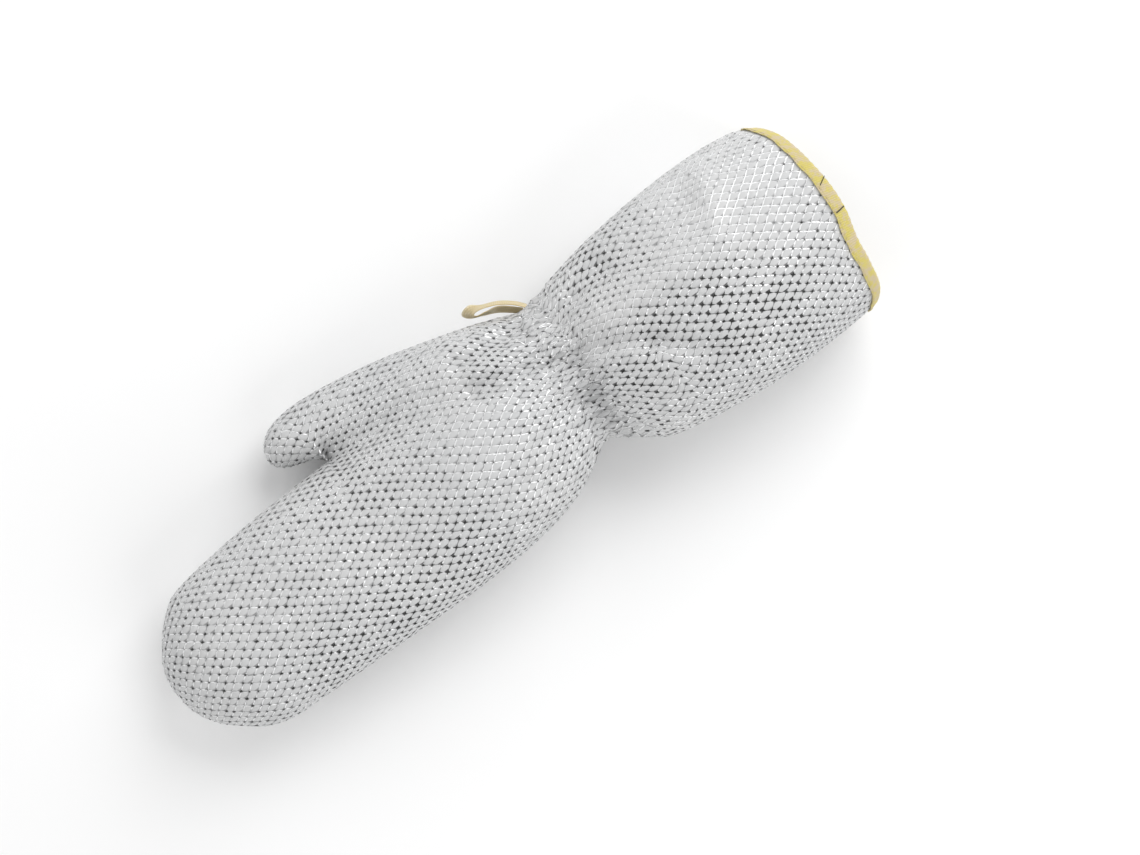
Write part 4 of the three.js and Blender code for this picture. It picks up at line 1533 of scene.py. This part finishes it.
@dataclass
class MouthTape:
    """Yellow tape folded over the raw edge of both panels round the mouth."""

    back: PanelCloth
    palm: PanelCloth
    depth: float = 4.5
    thickness: float = 0.7
    gap: float = 0.2
    wall: float = 2.0
    fold_reach: float = 1.3
    inner_fold_share: float = 0.45
    hem_length: float = 0.4
    hem_slope: float = 0.12
    inner_hem: float = 0.15
    pucker: float = 0.3
    pucker_pitch: float = 5.6
    edge_wave: float = 0.22
    knob: float = 0.12
    knob_pitch: float = 3.2
    stitch_pitch: float = 2.3
    stitch_from_edge: float = 1.0
    stitch_share: float = 0.72
    stitch_width: float = 0.34
    stitch_hump: float = 0.06
    floor: float = 0.04

    def ring(self) -> dict[str, np.ndarray]:
        """The mouth's edge once round: places, outward normals and the way out of the mouth."""
        parts = []
        for cloth, order in ((self.back, slice(None)), (self.palm, slice(-2, 0, -1))):
            edge = cloth.body.points[0][order]
            row = int(np.searchsorted(cloth.body.along, self.depth))
            deep = cloth.body.points[row][order]
            normal = cloth.body.normals[0][order].copy()
            normal[:, 1] = 0
            parts.append((edge, unit(edge - deep), unit(normal)))
        edge, ahead, normal = (np.concatenate([part[i] for part in parts]) for i in range(3))
        length = lengths_along(np.concatenate([edge, edge[:1]]))
        return {"edge": edge, "ahead": ahead, "normal": self.softened(normal), "length": length}

    def softened(self, values: np.ndarray) -> np.ndarray:
        """Directions evened out with their neighbours round the mouth."""
        for _ in range(4):
            values = unit(values + np.roll(values, 1, axis=0) + np.roll(values, -1, axis=0))
        return values

    def profile(self) -> np.ndarray:
        """Section of the folded tape: distance off the cloth's outer face, and beyond the edge."""
        low, high = self.gap, self.gap + self.thickness
        half = self.wall / 2
        hem = -self.depth + self.hem_length
        outside = [(high - self.hem_slope, -self.depth), (high, hem), (high, -self.depth / 2), (high, 0)]
        turns = [math.pi * k / 8 for k in range(1, 8)]
        over = [(-half + (half + high) * math.cos(t), self.fold_reach * math.sin(t)) for t in turns]
        beyond = -self.wall - high
        far = [(beyond, 0), (beyond, -self.depth / 2), (beyond, hem),
               (beyond + self.hem_slope, -self.depth)]
        inner_hem = -self.depth + self.inner_hem
        back = [(-self.wall - low, inner_hem), (-self.wall - low, 0)]
        inner_reach = self.inner_fold_share * self.fold_reach
        under = [(-half - (half + low) * math.cos(t), inner_reach * math.sin(t)) for t in turns]
        near = [(low, 0), (low, inner_hem)]
        return np.array(outside + over + far + back + under + near)

    def build(self, material: bpy.types.Material) -> bpy.types.Object:
        """Builds the tape as one closed ring."""
        ring = self.ring()
        profile = self.profile()
        length = ring["length"][:-1]
        off = np.broadcast_to(profile[:, 0], (len(length), len(profile))).copy()
        beyond = np.broadcast_to(profile[:, 1], off.shape)
        deep = smooth_step(-1, -self.depth, beyond)
        wave = np.sin(2 * math.pi * length / self.pucker_pitch + np.sin(length / 13))
        outer = np.where(profile[:, 0] > -self.wall / 2, 1, -1)
        off += self.pucker * deep * (0.5 + 0.5 * wave[:, None]) * outer
        beyond = beyond + self.edge_wave * np.sin(length / 2.3 + np.sin(length / 7))[:, None] * deep
        knobs = self.knob * np.sin(2 * math.pi * length / self.knob_pitch)
        beyond = beyond + knobs[:, None] * (1 - deep)
        points = (ring["edge"][:, None] + ring["normal"][:, None] * off[..., None]
                  + ring["ahead"][:, None] * beyond[..., None])
        points[..., 2] = np.maximum(points[..., 2], self.floor)
        rows, columns = off.shape
        number = np.arange(rows * columns).reshape(rows, columns)
        wrapped = np.pad(number, ((0, 1), (0, 1)), mode="wrap")
        faces = squares(wrapped)[:, [0, 3, 2, 1]]
        down = lengths_along(profile)
        uv = np.stack(np.broadcast_arrays(length[:, None], down[None, :]), -1).reshape(-1, 2)
        piece = make_piece("binding_tape", points.reshape(-1, 3), faces, uv)
        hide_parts("cuff_binding")
        return hang_on(piece, material)

    def build_stitches(self, material: bpy.types.Material) -> bpy.types.Object:
        """Builds the running stitch along both legs of the tape."""
        ring = self.ring()
        length = ring["length"]
        at = np.arange(0, length[-1], self.stitch_pitch)

        def read(values: np.ndarray, where: np.ndarray) -> np.ndarray:
            """Values round the closed ring."""
            return read_along(where % length[-1], length, np.concatenate([values, values[:1]]))

        runs = []
        top = self.gap + self.thickness
        for off, turn in ((top + self.pucker * 0.5, 1), (-self.wall - top - self.pucker * 0.5, -1)):
            spots = []
            for where in (at, at + self.stitch_pitch * self.stitch_share):
                normal, ahead = read(ring["normal"], where), read(ring["ahead"], where)
                back = -self.depth + self.stitch_from_edge
                spots.append(read(ring["edge"], where) + normal * off + ahead * back)
            runs.append((*spots, unit(read(ring["normal"], at)) * turn))
        points, faces = stitches(runs, self.stitch_width, self.stitch_hump)
        points[:, 2] = np.maximum(points[:, 2], self.floor)
        piece = make_piece("tape_stitches", points, faces)
        return hang_on(piece, material)


@dataclass
class ThreadTacks:
    """Two black tacking threads across the tape, left from its making."""

    tape: MouthTape
    places: tuple[tuple[float, float], ...] = ((-2.55, 0.87), (-16.55, 0.23))
    radius: float = 0.26
    length: float = 4.4
    cuts: tuple[float, ...] = (-0.34, -0.18, 0.18, 0.34, 0.42)
    height_share: float = 0.6
    over_fold: float = 0.75
    bend: float = 0.55
    bend_from: float = 0.2
    sway: float = 0.12

    def build(self, material: bpy.types.Material) -> None:
        """Builds both from cylinders, bent over the tape's fold."""
        ring = self.tape.ring()
        back_count = len(self.tape.back.body.points[0])
        top = self.tape.gap + self.tape.thickness + self.radius * self.height_share
        for number, (x, lean) in enumerate(self.places):
            i = int(np.argmin(np.abs(ring["edge"][:back_count, 0] - x)))
            edge, ahead, normal = (ring[name][i] for name in ("edge", "ahead", "normal"))
            sideways = np.cross(normal, ahead)
            bpy.ops.object.select_all(action="DESELECT")
            bpy.ops.mesh.primitive_cylinder_add(vertices=8, radius=self.radius * METRES,
                                                depth=self.length * METRES)
            thread = bpy.context.object
            thread.name = f"thread_tack_{'first' if number == 0 else 'second'}"
            bpy.ops.object.mode_set(mode="EDIT")
            bpy.ops.mesh.select_all(action="SELECT")
            bpy.ops.mesh.bisect(plane_co=(0, 0, 0), plane_no=(0, 0, 1))
            for cut in self.cuts:
                bpy.ops.mesh.select_all(action="SELECT")
                bpy.ops.mesh.bisect(plane_co=(0, 0, cut * self.length * METRES), plane_no=(0, 0, 1))
            bpy.ops.object.mode_set(mode="OBJECT")
            for vertex in thread.data.vertices:
                u, v, w = np.array(vertex.co) / METRES
                w /= math.hypot(1, lean)
                beyond = w - self.length / 2 / math.hypot(1, lean)
                beyond = beyond + self.tape.fold_reach * self.over_fold
                drop = -self.bend * max(0.0, beyond + self.bend_from) ** 2
                point = (edge + ahead * beyond + normal * (top + v + drop)
                         + sideways * (u + lean * w + self.sway * math.sin(w)))
                vertex.co = point * METRES
            thread.data.polygons.foreach_set("use_smooth", [True] * len(thread.data.polygons))
            thread.data.update()
            hang_on(thread, material)


@dataclass
class HangBand:
    """Ribbed elastic band, folded into a loop and caught in the seam at the wrist."""

    form: MittenForm
    width: float = 5.2
    thickness: float = 0.75
    ribs: int = 5
    steps: int = 130
    rib_depth: float = 0.16
    least_upright: float = 0.05
    least_edge: float = 0.08
    edge_power: float = 8

    def build(self, material: bpy.types.Material) -> bpy.types.Object:
        """Builds the band."""
        stations = np.linspace(0, len(LOOP_PATH.rows) - 1, self.steps)
        path = np.stack([LOOP_PATH.curve(name)(stations) for name in ("x", "y", "z")], 1)
        path -= np.array([self.form.centre_x, self.form.centre_y, 0])
        slant = [LOOP_PATH.curve(name)(stations) for name in ("slant_x", "slant_y")]
        upright = np.sqrt(np.maximum(self.least_upright, 1 - slant[0] ** 2 - slant[1] ** 2))
        along = unit(np.gradient(path, axis=0))
        across = np.stack([*slant, upright], 1)
        across = unit(across - along * (across * along).sum(1, keepdims=True))
        through = np.cross(along, across)
        spread = np.linspace(-1, 1, self.ribs * 4 + 1)
        rib = np.abs(np.cos(math.pi * self.ribs * (spread + 1) / 2)) * self.rib_depth
        round_edge = np.sqrt(np.clip(1 - np.abs(spread) ** self.edge_power, self.least_edge, 1))
        half = (self.thickness / 2 - rib) * round_edge
        section = np.concatenate([
            np.stack([spread, half], 1), np.stack([spread[::-1], -half[::-1]], 1),
        ])
        points = (path[:, None] + across[:, None] * (section[:, :1] * self.width / 2)
                  + through[:, None] * section[:, 1:])
        rows, columns = points.shape[:2]
        number = np.arange(rows * columns).reshape(rows, columns)
        faces = squares(np.concatenate([number, number[:, :1]], 1))
        caps = [
            [row[j], row[j + 1], row[columns - j - 2], row[columns - j - 1]][::turn]
            for row, turn in ((number[0], -1), (number[-1], 1)) for j in range(columns // 2 - 1)
        ]
        at_rib = (section[:, 0] + 1)[None, :] * self.ribs / 2
        uv = np.stack(np.broadcast_arrays(lengths_along(path)[:, None], at_rib), -1).reshape(-1, 2)
        piece = make_piece("hang_band", points.reshape(-1, 3),
                           np.concatenate([faces, np.array(caps)]), uv)
        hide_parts("hang_loop")
        return hang_on(piece, material)


@dataclass
class Studio:
    """Plain floor, softboxes and the camera straight above."""

    camera_place: tuple[float, float, float] = (-0.02115, -0.0298, 1.187)
    camera_turn: tuple[float, float] = (-0.6018, -0.7986)
    lens: float = 85.0
    floor_size: float = 8.0
    floor_tone: float = 0.93
    world_tone: float = 0.36

    def add_camera(self) -> None:
        """Adds the camera and makes it the scene's."""
        data = bpy.data.cameras.new("camera")
        data.lens = self.lens
        data.sensor_width = 36.0
        camera = bpy.data.objects.new("camera", data)
        camera.location = self.camera_place
        camera.rotation_euler = (0, 0, math.atan2(self.camera_turn[1], self.camera_turn[0]))
        bpy.context.scene.collection.objects.link(camera)
        bpy.context.scene.camera = camera

    def add_floor(self) -> None:
        """Adds the pale floor."""
        bpy.ops.object.select_all(action="DESELECT")
        bpy.ops.mesh.primitive_plane_add(size=self.floor_size)
        floor = bpy.context.object
        floor.name = "floor"
        n = Nodes("pale_floor", Roughness=0.9, Specular_IOR_Level=0.1)
        tone = n.blend(n.noise(n.place(), 3, 2), grey(self.floor_tone * 0.99), grey(self.floor_tone))
        floor.data.materials.append(n.finish(tone))
        floor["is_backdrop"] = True

    def add_softbox(self, name: str, towards: tuple[float, float], tilt: float, size: float,
                    power: float, distance: float = 1.3) -> None:
        """Adds one square softbox.

        Args:
            name: Name of the light.
            towards: Direction over the floor that it stands in.
            tilt: Degrees between it and the zenith.
            size: Side of its square in metres.
            power: Its power in watts.
            distance: Distance from the mitten in metres.
        """
        data = bpy.data.lights.new(name, "AREA")
        data.shape = "SQUARE"
        data.size = size
        data.energy = power
        light = bpy.data.objects.new(name, data)
        turn = math.atan2(towards[1], towards[0])
        lean = math.radians(tilt)
        light.location = (distance * math.sin(lean) * math.cos(turn),
                          distance * math.sin(lean) * math.sin(turn), distance * math.cos(lean))
        light.rotation_euler = (0, lean, turn)
        bpy.context.scene.collection.objects.link(light)

    def build(self) -> None:
        """Builds the studio."""
        self.add_camera()
        self.add_floor()
        self.add_softbox("key", (0.45, -0.9), 50, 1.0, 12.2)
        self.add_softbox("side", (1.0, 0.35), 56, 1.3, 4)
        self.add_softbox("fill", (-1.0, -0.15), 60, 1.3, 8.8)
        self.add_softbox("end", (0.0, 1.0), 60, 1.2, 4)
        world = bpy.data.worlds.new("studio")
        world.use_nodes = True
        shade = next(n for n in world.node_tree.nodes if n.type == "BACKGROUND")
        shade.inputs["Color"].default_value = grey(self.world_tone)
        bpy.context.scene.world = world
        bpy.context.scene.view_settings.view_transform = "Standard"


def corners() -> list[list[float]]:
    """Lowest and highest corner of what shows, as plain lists."""
    return [[float(value) for value in corner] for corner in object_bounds()]


def main() -> None:
    """Builds the studio and the mitten, piece by piece."""
    logging.basicConfig(level=logging.INFO, format="%(message)s")
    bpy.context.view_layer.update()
    Studio().build()
    form = MittenForm()
    back = PanelCloth(form, Side.BACK)
    palm = PanelCloth(form, Side.PALM)
    ground = GroundCloth().material()
    yarn = MetalYarn().material()
    KnitPanel(back, "back", "back_panel", "knit_back").build(ground, yarn)
    KnitPanel(palm, "palm", "palm_panel", "knit_palm").build(ground, yarn)
    SeamStitching(back, palm).build(SILVER_THREAD.material())
    tape = MouthTape(back, palm)
    yellow = YellowTape().material()
    tape.build(yellow)
    tape.build_stitches(yellow)
    ThreadTacks(tape).build(BLACK_THREAD.material())
    HangBand(form).build(OchreElastic().material())


if __name__ == "__main__":
    main()
